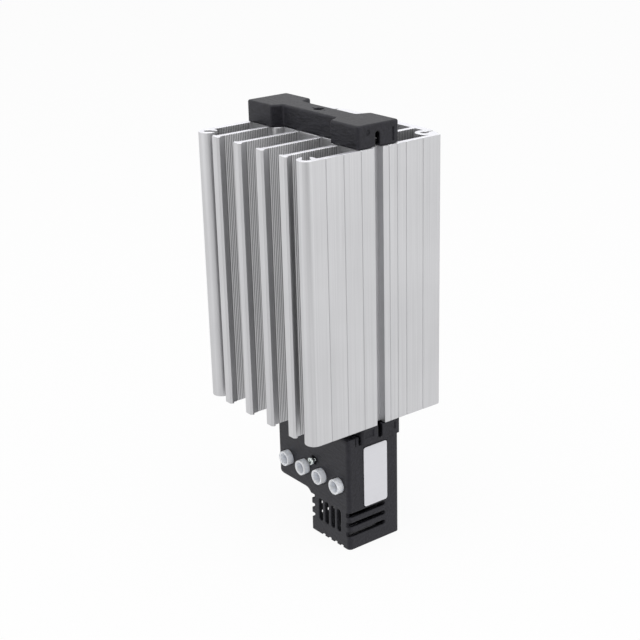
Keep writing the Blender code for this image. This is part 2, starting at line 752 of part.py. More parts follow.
def cap_end_details(obj, foot, way, height):
    """Slot, pin hole, groove and shallow panel in both end faces of a cap."""
    end_x = HALF_WIDTH - CAP_END_INSET
    slot_length = CAP_SLOT_HEIGHT + CAP_SLOT_WIDTH / 2
    slot_z = foot + way * (CAP_SLOT_HEIGHT / 2 - CAP_SLOT_WIDTH / 4)
    groove_half = CAP_GROOVE_WIDTH / 2
    groove_low, groove_high = CAP_GROOVE_Y - groove_half, CAP_GROOVE_Y + groove_half
    foot_gap, head_gap = CAP_GROOVE_ENDS
    low, high = sorted((foot + way * foot_gap, foot + way * (height - head_gap)))
    for side in (-1, 1):
        reach = sorted((side * (end_x - CAP_SLOT_DEPTH), side * (end_x + PAST)))
        skin = sorted((side * (end_x - CAP_PANEL_DEPTH), side * (end_x + PAST)))
        slot = capsule(0.0, slot_z, slot_length, CAP_SLOT_WIDTH, True)
        cut(obj, prism("cap_slot", [slot], *reach, "X"))
        if way > 0:
            pin = circle(CAP_PIN_HOLE_Y, foot + CAP_PIN_HOLE_Z, CAP_PIN_HOLE, 10)
            cut(obj, prism("cap_pin_hole", [pin], *skin, "X"))
        groove = box(groove_low, groove_high, low, high)
        cut(obj, prism("cap_groove", [groove], *skin, "X"))
        panel = box(CAP_PANEL_LOW, CAP_PANEL_HIGH, low, high)
        if way < 0:
            cut(obj, prism("cap_panel", [panel], *skin, "X"))
    return obj


def top_cap():
    """The cap that closes the top of the core."""
    top = TOP_CAP_Z + TOP_CAP_HEIGHT
    obj = prism("cap", [cap_outline()], TOP_CAP_Z, top)
    soften(obj, CAP_EDGE)
    cut(obj, *cap_pocket(TOP_CAP_Z - PAST, top - CAP_WALL))
    floor = TOP_CAP_Z + CAP_SCREW_FLOOR
    head, height, shaft = CAP_SCREW
    cut(obj, prism("screw_bore", [circle(0, 0, CAP_SCREW_BORE, 20)], floor, top + PAST))
    through = [circle(0, 0, shaft + SEAT_GAP, 12)]
    cut(obj, prism("screw_hole", through, TOP_CAP_Z - PAST, floor + PAST))
    for x in (-CAP_MARK_OFFSET, CAP_MARK_OFFSET):
        mark = [circle(x, 0, CAP_MARK_RADIUS, 8)]
        cut(obj, prism("cap_mark", mark, top - CAP_MARK_DEPTH, top + PAST))
    cap_end_details(obj, TOP_CAP_Z, 1, TOP_CAP_HEIGHT)
    return keep(obj, "top_cap", BLACK_PLASTIC)


def bottom_cap():
    """The cap that closes the foot of the core and carries the housing."""
    top = CAP_BASE_Z + BOTTOM_CAP_HEIGHT
    obj = prism("cap", [cap_outline()], CAP_BASE_Z, top)
    head, height, shaft = BASE_SCREW
    pockets = cap_pocket(CAP_BASE_Z + CAP_WALL, top + PAST)
    for pocket, x in zip(pockets, (-CORE_BOSS_X, CORE_BOSS_X)):
        boss = [circle(x, -CORE_BOSS_Y, head + SEAT_GAP + BASE_BOSS_WALL, 24)]
        cut(pocket, prism("screw_boss", boss, CAP_BASE_Z, top + 2 * PAST))
    cut(obj, *pockets)
    reach = TAB_WIDTH / 2 + LEAD_PASSAGE_CLEARANCE
    half_y = STRIP_Y + LEAD_RADIUS + LEAD_PASSAGE_CLEARANCE
    left, right = LINE_TAB_X - reach, NEUTRAL_TAB_X + reach
    passage = rounded_box(left, right, -half_y, half_y, PASSAGE_CORNER, 2)
    cut(obj, prism("lead_passage", [passage], CAP_BASE_Z - PAST, top + PAST))
    seat = CAP_BASE_Z + BASE_SCREW_SINK + height + SEAT_GAP
    for x in (-CORE_BOSS_X, CORE_BOSS_X):
        hole = [circle(x, -CORE_BOSS_Y, shaft + SEAT_GAP, 12)]
        cut(obj, prism("screw_hole", hole, CAP_BASE_Z - PAST, top + PAST))
        sink = [circle(x, -CORE_BOSS_Y, head + SEAT_GAP, 20)]
        cut(obj, prism("screw_sink", sink, CAP_BASE_Z - PAST, seat))
    cap_end_details(obj, top, -1, BOTTOM_CAP_HEIGHT)
    return keep(obj, "bottom_cap", BLACK_PLASTIC)


def screw(sizes, length, place, axis, way):
    """A pan-head screw with its head out along its way from the place."""
    head, height, shaft = sizes
    dome = height * 0.35
    outline = [
        (0.0, height),
        (head * 0.6, height - dome * 0.25),
        (head, height - dome),
        (head, 0.0),
        (shaft, 0.0),
        (shaft, -length + shaft * 0.6),
        (0.0, -length),
    ]
    obj = turned("screw", outline, SCREW_SIDES, place, axis)
    # the screw's own axis points along -Y when it is turned onto Y
    if (way < 0) != (axis == "Y"):
        turn = Matrix.Rotation(math.pi, 3, "X" if axis != "X" else "Y")
        obj.rotation_euler = (turn @ AXIS_TURN[axis]).to_euler()
    return obj


def cross_recess(obj, sizes, place, axis, way):
    """Cut a cross into a screw's head."""
    head, height, shaft = sizes
    arm = head * 0.62
    bar = head * 0.14
    deep = height * 0.55
    start = {"X": place[0], "Y": place[1], "Z": place[2]}[axis]
    low, high = sorted((start + way * (height - deep), start + way * (height + PAST)))
    flat = {"X": (place[1], place[2]), "Y": (place[0], place[2]), "Z": (place[0], place[1])}
    u, v = flat[axis]
    upright = prism("cross", [box(u - bar, u + bar, v - arm, v + arm)], low, high, axis)
    level = prism("cross", [box(u - arm, u + arm, v - bar, v + bar)], low, high, axis)
    return cut(obj, upright, level)


def terminal_housing():
    """The moulded shell below the extrusion, with wire entries and vents."""
    def shell(inset, low, high):
        """Plan with round corners, intersected with the front outline."""
        radius = HOUSING_INNER_CORNER if inset else HOUSING_CORNER
        plan = rounded_box(
            HOUSING_LEFT + inset, HOUSING_RIGHT - inset,
            HOUSING_FRONT + inset, HOUSING_REAR - inset, radius, 5,
        )
        quarter = math.pi / 2
        fillet = FOOT_FILLET + inset
        wing = max(WING_CORNER - inset, HOUSING_INNER_CORNER)
        left, right = FOOT_LEFT + inset, HOUSING_RIGHT + PAST
        wing_left, wing_low = HOUSING_LEFT + inset, FOOT_HEIGHT + inset
        front = [(right, high), (wing_left, high)]
        front += arc(wing_left + wing, wing_low + wing, wing, 2 * quarter, 3 * quarter, 4)
        front += arc(left - fillet, wing_low - fillet, fillet, quarter, 0.0, 6)
        front += [(left, low), (right, low)]
        block = prism("housing_plan", [plan], low, high)
        view = prism("housing_front", [front], HOUSING_FRONT - PAST, HOUSING_REAR + PAST, "Y")
        return combine(block, view, "INTERSECT")

    def behind_lip(inset):
        """The room over the roof, behind the raised lip of the front."""
        room = box(
            HOUSING_LEFT - PAST, HOUSING_RIGHT + PAST, LIP_REAR - inset, HOUSING_REAR + PAST,
        )
        return prism("behind_lip", [room], HOUSING_HEIGHT - inset, LIP_TOP + PAST)

    obj = shell(0.0, 0.0, LIP_TOP)
    cut(obj, behind_lip(0.0))
    shoulder = [
        (HOUSING_FRONT - PAST, LIP_TOP + PAST),
        (HOUSING_FRONT - PAST, LIP_TOP - HOUSING_SHOULDER),
    ]
    quarter = math.pi / 2
    shoulder += arc(
        HOUSING_FRONT + HOUSING_SHOULDER, LIP_TOP - HOUSING_SHOULDER,
        HOUSING_SHOULDER, 2 * quarter, quarter, 5,
    )
    shoulder += [(HOUSING_FRONT + HOUSING_SHOULDER, LIP_TOP + PAST)]
    cut(obj, prism("shoulder", [shoulder], HOUSING_LEFT - PAST, HOUSING_RIGHT + PAST, "X"))
    soften(obj, HOUSING_EDGE)
    inside = shell(HOUSING_WALL, HOUSING_WALL, LIP_TOP - HOUSING_WALL)
    cut(inside, behind_lip(HOUSING_WALL))
    cut(obj, inside)
    groove_y = HOUSING_FRONT + LIP_GROOVE_BACK
    groove = box(
        HOUSING_RIGHT - LIP_GROOVE_DEPTH, HOUSING_RIGHT + PAST,
        groove_y - LIP_GROOVE_WIDTH / 2, groove_y + LIP_GROOVE_WIDTH / 2,
    )
    cut(obj, prism("lip_groove", [groove], HOUSING_HEIGHT, LIP_TOP + PAST))
    throat_half = CAP_WAIST_DEPTH / 2 - THROAT_COVER
    throat = rounded_box(
        THROAT_LEFT, HOUSING_RIGHT - HOUSING_WALL,
        -throat_half, throat_half, PASSAGE_CORNER, 2,
    )
    throat_low = HOUSING_HEIGHT - 2 * HOUSING_WALL
    cut(obj, prism("throat", [throat], throat_low, HOUSING_HEIGHT + PAST))

    wall_in = HOUSING_FRONT + HOUSING_WALL
    face = (HOUSING_FRONT - PAST, wall_in + PAST / 2)
    for x in ENTRY_X:
        hole = [circle(x, ENTRY_Z, COLLAR_RADIUS + RUNNING_GAP, 28)]
        cut(obj, prism("entry", hole, *face, "Y"))
    pocket = [circle(FACE_SCREW_X, FACE_SCREW_Z, FACE_SCREW_POCKET, 18)]
    pocket_floor = HOUSING_FRONT + FACE_SCREW_POCKET_DEPTH
    cut(obj, prism("face_pocket", pocket, HOUSING_FRONT - PAST, pocket_floor, "Y"))
    head, height, shaft = HOUSING_SCREW
    hole = [circle(FACE_SCREW_X, FACE_SCREW_Z, shaft + SEAT_GAP, 12)]
    cut(obj, prism("face_hole", hole, *face, "Y"))

    vent_high = FOOT_HEIGHT - FRONT_VENT_BELOW_STEP
    vent_middle = (FRONT_VENT_LOW + vent_high) / 2
    vent_length = vent_high - FRONT_VENT_LOW
    vent_centre = HOUSING_RIGHT - FOOT_WIDTH / 2 + FRONT_VENT_OFFSET
    floor_middle = (FLOOR_VENT_FRONT + FLOOR_VENT_REAR) / 2
    floor_length = FLOOR_VENT_REAR - FLOOR_VENT_FRONT
    floor_half = FLOOR_VENT_WIDTH / 2
    for i in range(FRONT_VENT_COUNT):
        x = vent_centre + (i - (FRONT_VENT_COUNT - 1) / 2) * FRONT_VENT_PITCH
        front = capsule(x, vent_middle, vent_length, FRONT_VENT_WIDTH, True)
        cut(obj, prism("front_vent", [front], *face, "Y"))
        slot_x = x + FLOOR_VENT_SHIFT
        floor = capsule(slot_x, floor_middle, floor_length, FLOOR_VENT_WIDTH, True)
        cut(obj, prism("floor_vent", [floor], -PAST, HOUSING_WALL + PAST / 2))
        notch = box(
            slot_x - floor_half, slot_x + floor_half,
            HOUSING_FRONT - PAST, HOUSING_FRONT + HOUSING_WALL,
        )
        cut(obj, prism("floor_notch", [notch], -PAST, FLOOR_NOTCH))
    side_front = HOUSING_FRONT - PAST - SIDE_VENT_WIDTH
    rise = FOOT_HEIGHT - SIDE_VENT_BELOW_STEP - SIDE_VENT_LOWEST
    for i in range(SIDE_VENT_COUNT):
        z = SIDE_VENT_LOWEST + i * rise / (SIDE_VENT_COUNT - 1)
        length = SIDE_VENT_END - side_front
        vent = capsule((side_front + SIDE_VENT_END) / 2, z, length, SIDE_VENT_WIDTH, False, 4)
        near = (HOUSING_RIGHT - HOUSING_WALL - PAST / 4, HOUSING_RIGHT + PAST)
        far = (FOOT_LEFT - PAST, FOOT_LEFT + HOUSING_WALL + PAST / 4)
        cut(obj, prism("near_vent", [vent], *near, "X"))
        cut(obj, prism("far_vent", [vent], *far, "X"))
    bed = rounded_box(
        LABEL_FRONT - SEAT_GAP, LABEL_REAR + SEAT_GAP,
        LABEL_LOW - SEAT_GAP, LABEL_HIGH + SEAT_GAP, LABEL_CORNER, 3,
    )
    cut(obj, prism("label_bed", [bed], HOUSING_RIGHT - LABEL_RECESS, HOUSING_RIGHT + PAST, "X"))
    return keep(obj, "terminal_housing", BLACK_PLASTIC)


def rating_label():
    """A blank label in its shallow bed."""
    plate = rounded_box(LABEL_FRONT, LABEL_REAR, LABEL_LOW, LABEL_HIGH, LABEL_CORNER, 3)
    inner = HOUSING_RIGHT - LABEL_RECESS + SEAT_GAP
    obj = prism("label", [plate], inner, inner + LABEL_WALL, "X")
    return keep(obj, "rating_label", LABEL_FILM)


def release_collar(index, x):
    """A tubular push collar; its origin is on its axis at the housing's face."""
    flange_front = -HOUSING_WALL - SEAT_GAP
    flange_back = flange_front - COLLAR_FLANGE_WALL
    tail = flange_back - COLLAR_TAIL
    rim = COLLAR_RIM
    outline = [
        (COLLAR_BORE + rim, COLLAR_REACH),
        (COLLAR_RADIUS - rim, COLLAR_REACH),
        (COLLAR_RADIUS, COLLAR_REACH - rim),
        (COLLAR_RADIUS, flange_front),
        (COLLAR_FLANGE, flange_front),
        (COLLAR_FLANGE, flange_back),
        (COLLAR_TAIL_RADIUS, flange_back),
        (COLLAR_TAIL_RADIUS, tail),
        (COLLAR_TAIL_BORE, tail),
        (COLLAR_TAIL_BORE, flange_back),
        (COLLAR_BORE, flange_front),
        (COLLAR_BORE, COLLAR_REACH - 2 * rim),
    ]
    place = (x, HOUSING_FRONT, ENTRY_Z)
    obj = turned("collar", outline, COLLAR_SIDES, place, "Y")
    flat = COLLAR_RADIUS + COLLAR_FLAT
    high = ENTRY_Z + COLLAR_FLANGE + PAST
    low = ENTRY_Z - COLLAR_FLANGE - PAST
    front = HOUSING_FRONT - flange_front - SEAT_GAP / 2
    back = HOUSING_FRONT - flange_back + SEAT_GAP / 2
    for side in (-1, 1):
        edge = sorted((x + side * flat, x + side * (COLLAR_FLANGE + PAST)))
        cut(obj, prism("flange_flat", [box(*edge, low, high)], front, back, "Y"))
    return keep(obj, f"release_collar_{index}", WHITE_PLASTIC)


FLANGE_BACK = HOUSING_FRONT + HOUSING_WALL + SEAT_GAP + COLLAR_FLANGE_WALL
CARRIER_FRONT = FLANGE_BACK + COLLAR_TRAVEL + SEAT_GAP
CARRIER_REAR = CARRIER_FRONT + CARRIER_DEPTH
CARRIER_LOW = ENTRY_Z - CARRIER_BELOW
CARRIER_HIGH = ENTRY_Z + CARRIER_ABOVE
CARRIER_LEFT = HOUSING_LEFT + HOUSING_WALL + CARRIER_SIDE_GAP
CARRIER_RIGHT = HOUSING_RIGHT - HOUSING_WALL - CARRIER_SIDE_GAP


def clamp_carrier():
    """The block behind the collars, with a bore and a pocket for each clamp."""
    body = rounded_box(CARRIER_LEFT, CARRIER_RIGHT, CARRIER_LOW, CARRIER_HIGH, PASSAGE_CORNER, 2)
    obj = prism("carrier", [body], CARRIER_FRONT, CARRIER_REAR, "Y")
    stem = rounded_box(
        STEM_X - STEM_WIDTH / 2, STEM_X + STEM_WIDTH / 2,
        -STEM_DEPTH / 2, STEM_DEPTH / 2, PASSAGE_CORNER, 2,
    )
    stem_top = CAP_BASE_Z - SEAT_GAP
    combine(obj, prism("stem", [stem], CARRIER_HIGH - PAST, stem_top), "UNION")
    bore_end = CARRIER_FRONT + CARRIER_BORE_DEPTH
    for x in ENTRY_X:
        bore = [circle(x, ENTRY_Z, COLLAR_TAIL_RADIUS + RUNNING_GAP, 20)]
        cut(obj, prism("bore", bore, CARRIER_FRONT - PAST, bore_end + PAST / 2, "Y"))
        pocket = box(
            x - POCKET_WIDTH / 2, x + POCKET_WIDTH / 2,
            ENTRY_Z - POCKET_BELOW, ENTRY_Z + POCKET_ABOVE,
        )
        cut(obj, prism("pocket", [pocket], bore_end, CARRIER_REAR + PAST, "Y"))
    head, height, shaft = HOUSING_SCREW
    thread = [circle(FACE_SCREW_X, FACE_SCREW_Z, shaft + SEAT_GAP, 12)]
    cut(obj, prism("thread", thread, CARRIER_FRONT - PAST, CARRIER_FRONT + FACE_SCREW_HOLE, "Y"))
    return keep(obj, "clamp_carrier", BLACK_PLASTIC)


def clamp_spring(index, x):
    """A bent leaf: a foot on the pocket floor and a leg that grips the wire."""
    start = CARRIER_FRONT + CARRIER_BORE_DEPTH + SEAT_GAP
    floor = ENTRY_Z - POCKET_BELOW + SEAT_GAP
    end = CARRIER_REAR - BAR_WALL
    t = SPRING_WALL
    bend_y = start + SPRING_BEND
    bend_z = floor + SPRING_BEND
    outer = arc(bend_y, bend_z, SPRING_BEND, 1.5 * math.pi, 0.75 * math.pi, 7)
    inner = arc(bend_y, bend_z, SPRING_BEND - t, 0.75 * math.pi, 1.5 * math.pi, 7)
    leg = Vector((1.0, 0.55)).normalized()
    side = Vector((-leg.y, leg.x))
    reach = end - outer[-1][0] - SPRING_TIP_GAP
    tip = Vector(outer[-1]) + leg * reach
    points = [(end - PAST, floor)] + outer
    points += [tuple(tip), tuple(tip - side * t)]
    points += inner + [(end - PAST, floor + t)]
    obj = prism("spring", [points], x - SPRING_WIDTH / 2, x + SPRING_WIDTH / 2, "X")
    return keep(obj, f"clamp_spring_{index}", SPRING_STEEL)


def contact_bar(name, first, second, tab_x):
    """A plated bar across two clamps, with a tab standing up for the lead."""
    low = ENTRY_Z - BAR_HEIGHT / 2
    high = ENTRY_Z + BAR_HEIGHT / 2
    left = first - POCKET_WIDTH / 2
    right = second + POCKET_WIDTH / 2
    tab = BAR_TAB / 2
    top = CARRIER_HIGH + BAR_TAB_RISE
    outline = [
        (left, low), (right, low), (right, high), (tab_x + tab, high),
        (tab_x + tab, top), (tab_x - tab, top), (tab_x - tab, high), (left, high),
    ]
    back = CARRIER_REAR + SEAT_GAP
    obj = prism("bar", [outline], back, back + BAR_WALL, "Y")
    return keep(obj, name, TINNED_BRASS)


def face_screw():
    """The small screw between the collars, standing proud as supplied."""
    place = (FACE_SCREW_X, HOUSING_FRONT - FACE_SCREW_STAND + HOUSING_SCREW[1], FACE_SCREW_Z)
    length = CARRIER_FRONT - place[1] + FACE_SCREW_BITE
    obj = screw(HOUSING_SCREW, length, place, "Y", -1)
    cross_recess(obj, HOUSING_SCREW, place, "Y", -1)
    return keep(obj, "housing_screw", ZINC_STEEL)


def bottom_cap_screws():
    """Two screws from below into the screw channels of the core."""
    head_seat = CAP_BASE_Z + BASE_SCREW_SINK + BASE_SCREW[1]
    length = CAP_BASE_Z + BOTTOM_CAP_HEIGHT - head_seat + BASE_SCREW_LENGTH
    for side, x in (("left", -CORE_BOSS_X), ("right", CORE_BOSS_X)):
        place = (x, -CORE_BOSS_Y, head_seat)
        obj = screw(BASE_SCREW, length, place, "Z", -1)
        keep(obj, f"bottom_cap_screw_{side}", ZINC_STEEL)


def top_cap_screw():
    """The screw sunk in the middle of the top cap."""
    place = (0.0, 0.0, TOP_CAP_Z + CAP_SCREW_FLOOR + SEAT_GAP)
    obj = screw(CAP_SCREW, CAP_SCREW_LENGTH, place, "Z", 1)
    cross_recess(obj, CAP_SCREW, place, "Z", 1)
    return keep(obj, "top_cap_screw", ZINC_STEEL)


def cap_anchor():
    """The plug in the chamber's top that takes the cap's screw."""
    gap = SEAT_GAP
    plan = rounded_box(
        -CHAMBER_WIDTH / 2 + gap, CHAMBER_WIDTH / 2 - gap,
        -CHAMBER_DEPTH / 2 + gap, CHAMBER_DEPTH / 2 - gap, CHAMBER_CORNER - gap, 2,
    )
    low = PROFILE_TOP - ANCHOR_HEIGHT
    obj = prism("anchor", [plan, circle(0, 0, CAP_SCREW[2] + gap, 12)], low, PROFILE_TOP)
    return keep(obj, "cap_anchor", BLACK_PLASTIC)


def heating_stack():
    """Stones between two electrode strips, wrapped in insulating film."""
    middle = PROFILE_Z + (PROFILE_LENGTH - ANCHOR_HEIGHT) / 2
    half_stone = STONE_WALL / 2
    for i in range(STONE_COUNT):
        z = middle + (i - (STONE_COUNT - 1) / 2) * STONE_PITCH
        plan = box(-STONE_WIDTH / 2, STONE_WIDTH / 2, -half_stone, half_stone)
        stone = prism("stone", [plan], z - STONE_HEIGHT / 2, z + STONE_HEIGHT / 2)
        keep(stone, f"ptc_stone_{i + 1}", STONE_CERAMIC)
    span = STACK_HALF
    near = half_stone + SEAT_GAP
    far = near + ELECTRODE_WALL
    sides = (("electrode_front", -1, LINE_TAB_X), ("electrode_rear", 1, NEUTRAL_TAB_X))
    for name, side, tab_x in sides:
        half = ELECTRODE_WIDTH / 2
        low, high = middle - span, middle + span
        outline = [
            (half, low), (half, high), (-half, high), (-half, low),
            (tab_x - TAB_WIDTH / 2, low), (tab_x - TAB_WIDTH / 2, TAB_END),
            (tab_x + TAB_WIDTH / 2, TAB_END), (tab_x + TAB_WIDTH / 2, low),
        ]
        strip = prism("strip", [outline], *sorted((side * near, side * far)), "Y")
        keep(strip, name, ANODISED)
    film_in = far + SEAT_GAP
    film_out = film_in + FILM_WALL
    wide = ELECTRODE_WIDTH / 2 + SEAT_GAP + FILM_WALL
    sleeve = [
        rounded_box(-wide - FILM_WALL, wide + FILM_WALL, -film_out, film_out, FILM_BEND, 2),
        rounded_box(-wide, wide, -film_in, film_in, FILM_BEND - FILM_WALL, 2),
    ]
    film = prism("film", sleeve, middle - span - FILM_MARGIN / 2, middle + span + FILM_MARGIN)
    keep(film, "insulating_film", AMBER_FILM)


def lead(name, tab_x, tab_y, bar_x):
    """A silicone-covered lead from an electrode's tab to its contact bar."""
    bar_top = CARRIER_HIGH + BAR_TAB_RISE
    bar_y = CARRIER_REAR + SEAT_GAP + BAR_WALL / 2
    start = Vector((tab_x, tab_y, CAP_BASE_Z))
    end = Vector((bar_x, bar_y, bar_top + SEAT_GAP + LEAD_END_STRAIGHT))
    down = Vector((0.0, 0.0, LEAD_BEND_SHARE * (end.z - start.z)))
    path = [Vector((tab_x, tab_y, TAB_END - SEAT_GAP))]
    path += interpolate_bezier(start, start + down, end - down, end, 14)
    path.append(Vector((bar_x, bar_y, bar_top + SEAT_GAP)))
    curve = bpy.data.curves.new(name, "CURVE")
    curve.dimensions = "3D"
    curve.bevel_depth = LEAD_RADIUS
    curve.bevel_resolution = 2
    curve.use_fill_caps = True
    spline = curve.splines.new("POLY")
    spline.points.add(len(path) - 1)
    for point, place in zip(spline.points, path):
        point.co = (*place, 1.0)
    obj = bpy.data.objects.new(name, curve)
    PARTS.objects.link(obj)
    obj.parent = FRAME
    curve.materials.append(RED_SILICONE)
    return obj


def rail_clip():
    """A one-piece clip whose two hooks take the edges of a 35 mm rail."""
    half = RAIL_HEIGHT / 2
    base, seat = CLIP_Y, RAIL_Y
    grip = seat + RAIL_LIP + CLIP_HOOK_GAP
    out = grip + CLIP_HOOK_WALL
    play = CLIP_HOOK_GAP
    top_root = half + play
    top = top_root + CLIP_HOOK_ROOT
    low_root = -half - play
    low = low_root - CLIP_HOOK_ROOT
    foot = low - CLIP_FOOT
    round_off = CLIP_HOOK_WALL / 2
    outline = [
        (base, foot), (seat, foot), (seat + PAST, foot + PAST), (seat + PAST, low - PAST),
        (out - round_off, low), (out, low + round_off),
        (out, low_root + CLIP_HOOK_LAP * 0.6), (grip, low_root + CLIP_HOOK_LAP),
        (grip, low_root), (seat, low_root),
        (seat, top_root), (grip, top_root), (grip, top_root - CLIP_HOOK_LAP),
        (out, top_root - CLIP_HOOK_LAP * 0.6), (out, top - round_off),
        (out - round_off, top), (base, top),
    ]
    outline = [(y, z + RAIL_Z) for y, z in outline]
    obj = prism("clip", [outline], -CLIP_WIDTH / 2, CLIP_WIDTH / 2, "X")
    head, height, shaft = CLIP_SCREW
    for z in clip_screw_levels():
        hole = [circle(0.0, z, shaft + SEAT_GAP, 12)]
        cut(obj, prism("hole", hole, base - PAST, seat + PAST, "Y"))
        sink = [circle(0.0, z, head + SEAT_GAP, 20)]
        cut(obj, prism("sink", sink, seat - height - CLIP_SCREW_SINK - SEAT_GAP, seat + PAST, "Y"))
    return keep(obj, "rail_clip", BLACK_PLASTIC)


def rail_clip_screws():
    """Two screws that hold the clip to the back wall, sunk below its seat."""
    head, height, shaft = CLIP_SCREW
    for end, z in zip(("lower", "upper"), clip_screw_levels()):
        place = (0.0, RAIL_Y - height - CLIP_SCREW_SINK, z)
        obj = screw(CLIP_SCREW, CLIP_SCREW_LENGTH, place, "Y", 1)
        keep(obj, f"rail_clip_screw_{end}", ZINC_STEEL)


heatsink_profile()
top_cap()
top_cap_screw()
cap_anchor()
bottom_cap()
bottom_cap_screws()
terminal_housing()
rating_label()
face_screw()
clamp_carrier()
for number, entry_x in enumerate(ENTRY_X, start=1):
    release_collar(number, entry_x)
    clamp_spring(number, entry_x)
LINE_BAR_X = (ENTRY_X[0] + ENTRY_X[1]) / 2
NEUTRAL_BAR_X = ENTRY_X[2]
contact_bar("contact_bar_line", ENTRY_X[0], ENTRY_X[1], LINE_BAR_X)
contact_bar("contact_bar_neutral", ENTRY_X[2], ENTRY_X[3], NEUTRAL_BAR_X)
heating_stack()
lead("lead_line", LINE_TAB_X, -STRIP_Y, LINE_BAR_X)
lead("lead_neutral", NEUTRAL_TAB_X, STRIP_Y, NEUTRAL_BAR_X)
rail_clip()
rail_clip_screws()

for piece in PARTS.objects:
    if piece.type == "MESH":
        piece.data.shade_smooth()
        piece.data.set_sharp_from_angle(angle=math.radians(35.0))
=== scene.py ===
# %% [markdown]
# # An enclosure heater for a control cabinet
#
# The object is a heater that keeps the air in a switch cabinet dry. A ribbed
# aluminium extrusion gives off the heat, black plastic caps close its core,
# and the mains wires push into a moulded housing below.
#
# The solids come from CAD and stay where they are. This script dresses them:
# it rounds their edges, rebuilds the small round parts that a faceted solid
# shows badly, and gives each piece the material of the real one.

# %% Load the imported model
import math

import bmesh
import bpy
from mathutils import Euler, Matrix, Vector


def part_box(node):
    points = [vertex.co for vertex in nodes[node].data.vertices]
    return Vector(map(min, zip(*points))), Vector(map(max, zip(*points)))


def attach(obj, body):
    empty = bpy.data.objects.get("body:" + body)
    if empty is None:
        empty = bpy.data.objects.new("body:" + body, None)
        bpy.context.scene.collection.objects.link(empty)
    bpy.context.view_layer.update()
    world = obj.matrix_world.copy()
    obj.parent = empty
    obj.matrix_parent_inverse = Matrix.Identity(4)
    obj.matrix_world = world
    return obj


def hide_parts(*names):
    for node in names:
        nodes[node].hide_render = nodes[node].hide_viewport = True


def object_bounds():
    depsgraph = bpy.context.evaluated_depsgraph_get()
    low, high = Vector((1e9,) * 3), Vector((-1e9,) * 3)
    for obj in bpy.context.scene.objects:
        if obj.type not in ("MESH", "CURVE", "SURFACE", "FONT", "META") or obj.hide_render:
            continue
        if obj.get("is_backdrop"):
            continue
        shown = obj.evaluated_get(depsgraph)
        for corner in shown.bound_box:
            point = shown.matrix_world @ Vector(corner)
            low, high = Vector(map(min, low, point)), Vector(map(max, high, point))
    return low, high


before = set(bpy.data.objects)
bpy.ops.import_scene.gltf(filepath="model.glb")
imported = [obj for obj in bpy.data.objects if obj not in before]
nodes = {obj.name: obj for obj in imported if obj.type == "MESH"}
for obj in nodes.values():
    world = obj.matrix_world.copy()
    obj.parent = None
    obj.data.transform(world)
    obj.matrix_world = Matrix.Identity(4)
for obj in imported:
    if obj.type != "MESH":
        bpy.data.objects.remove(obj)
cad_low, cad_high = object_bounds()
MM = 0.001
print("CAD box in mm:", [round(v / MM, 1) for v in cad_high - cad_low])


# %% [markdown]
# ## The camera
#
# The photograph was taken with a long lens, from the right of the wire
# entries and a little above. The place, turn and focal length were worked
# out from the parallel edges of the extrusion. A long lens keeps those edges
# almost parallel; a short one would spread them.

# %% Camera
FOCAL_LENGTH = 76.35  # mm, on a sensor 36 mm wide
CAMERA_PLACE = (0.4036, -0.34575, 0.1693)  # m
CAMERA_TURN = (69.4288, 1.4136, 52.1964)  # degrees

camera_data = bpy.data.cameras.new("photo_camera")
camera_data.sensor_width = 36.0
camera_data.lens = FOCAL_LENGTH
camera_data.clip_start = 0.05
camera_data.clip_end = 20.0
camera = bpy.data.objects.new("photo_camera", camera_data)
camera.location = CAMERA_PLACE
camera.rotation_euler = Euler([math.radians(a) for a in CAMERA_TURN])
bpy.context.scene.collection.objects.link(camera)
bpy.context.scene.camera = camera
print("camera distance in mm:", round(camera.location.length / MM))


# %% [markdown]
# ## Helpers for colour and nodes
#
# Colours are picked as sRGB hex values, as on a screen. Blender calculates in
# linear light, so one function turns them. A second one adds a shader node
# with its settings and its links in a single call. The others are the steps
# that nearly every material takes: a noise, a ramp between two colours, and a
# roughness that varies. With them, a material is short enough to read as a
# recipe.


# %% Colour and node helpers
def colour(code):
    """An sRGB hex value as a linear colour with alpha."""
    parts = [int(code[i : i + 2], 16) / 255 for i in (1, 3, 5)]
    # The sRGB curve: a short straight piece, then a power
    linear = [c / 12.92 if c <= 0.04045 else ((c + 0.055) / 1.055) ** 2.4 for c in parts]
    return (*linear, 1.0)


def add_node(tree, kind, settings=None, links=None):
    """A node of that kind; settings are attributes or inputs, links are sources."""
    made = tree.nodes.new(kind)
    for key, value in (settings or {}).items():
        if isinstance(key, str) and hasattr(made, key):
            setattr(made, key, value)
        else:
            made.inputs[key].default_value = value
    for key, source in (links or {}).items():
        tree.links.new(source, made.inputs[key])
    return made


def new_material(name, **sockets):
    """A Principled material with its plain values set on the shader itself."""
    made = bpy.data.materials.new(name)
    made.use_nodes = True
    tree = made.node_tree
    shader = tree.nodes["Principled BSDF"]
    for key, value in sockets.items():
        shader.inputs[key.replace("_", " ")].default_value = value
    return made, tree, shader


def object_place(tree):
    """Object coordinates: metres from the piece's own origin."""
    return add_node(tree, "ShaderNodeTexCoord").outputs["Object"]


def add_mapping(tree, place, **settings):
    """The place, scaled or moved."""
    return add_node(tree, "ShaderNodeMapping", settings, {"Vector": place}).outputs[0]


def add_noise(tree, place, scale, detail, roughness=0.5):
    """Noise with that many cells per unit of the place."""
    return add_node(tree, "ShaderNodeTexNoise", {
        "Scale": scale, "Detail": detail, "Roughness": roughness,
    }, {"Vector": place}).outputs[0]


def add_ramp(tree, source, dark, light, start=0.0, end=1.0):
    """A blend of two colours, which runs from start to end of its source."""
    made = add_node(tree, "ShaderNodeValToRGB", None, {0: source})
    first, last = made.color_ramp.elements
    first.position, first.color = start, colour(dark)
    last.position, last.color = end, colour(light)
    return made.outputs[0]


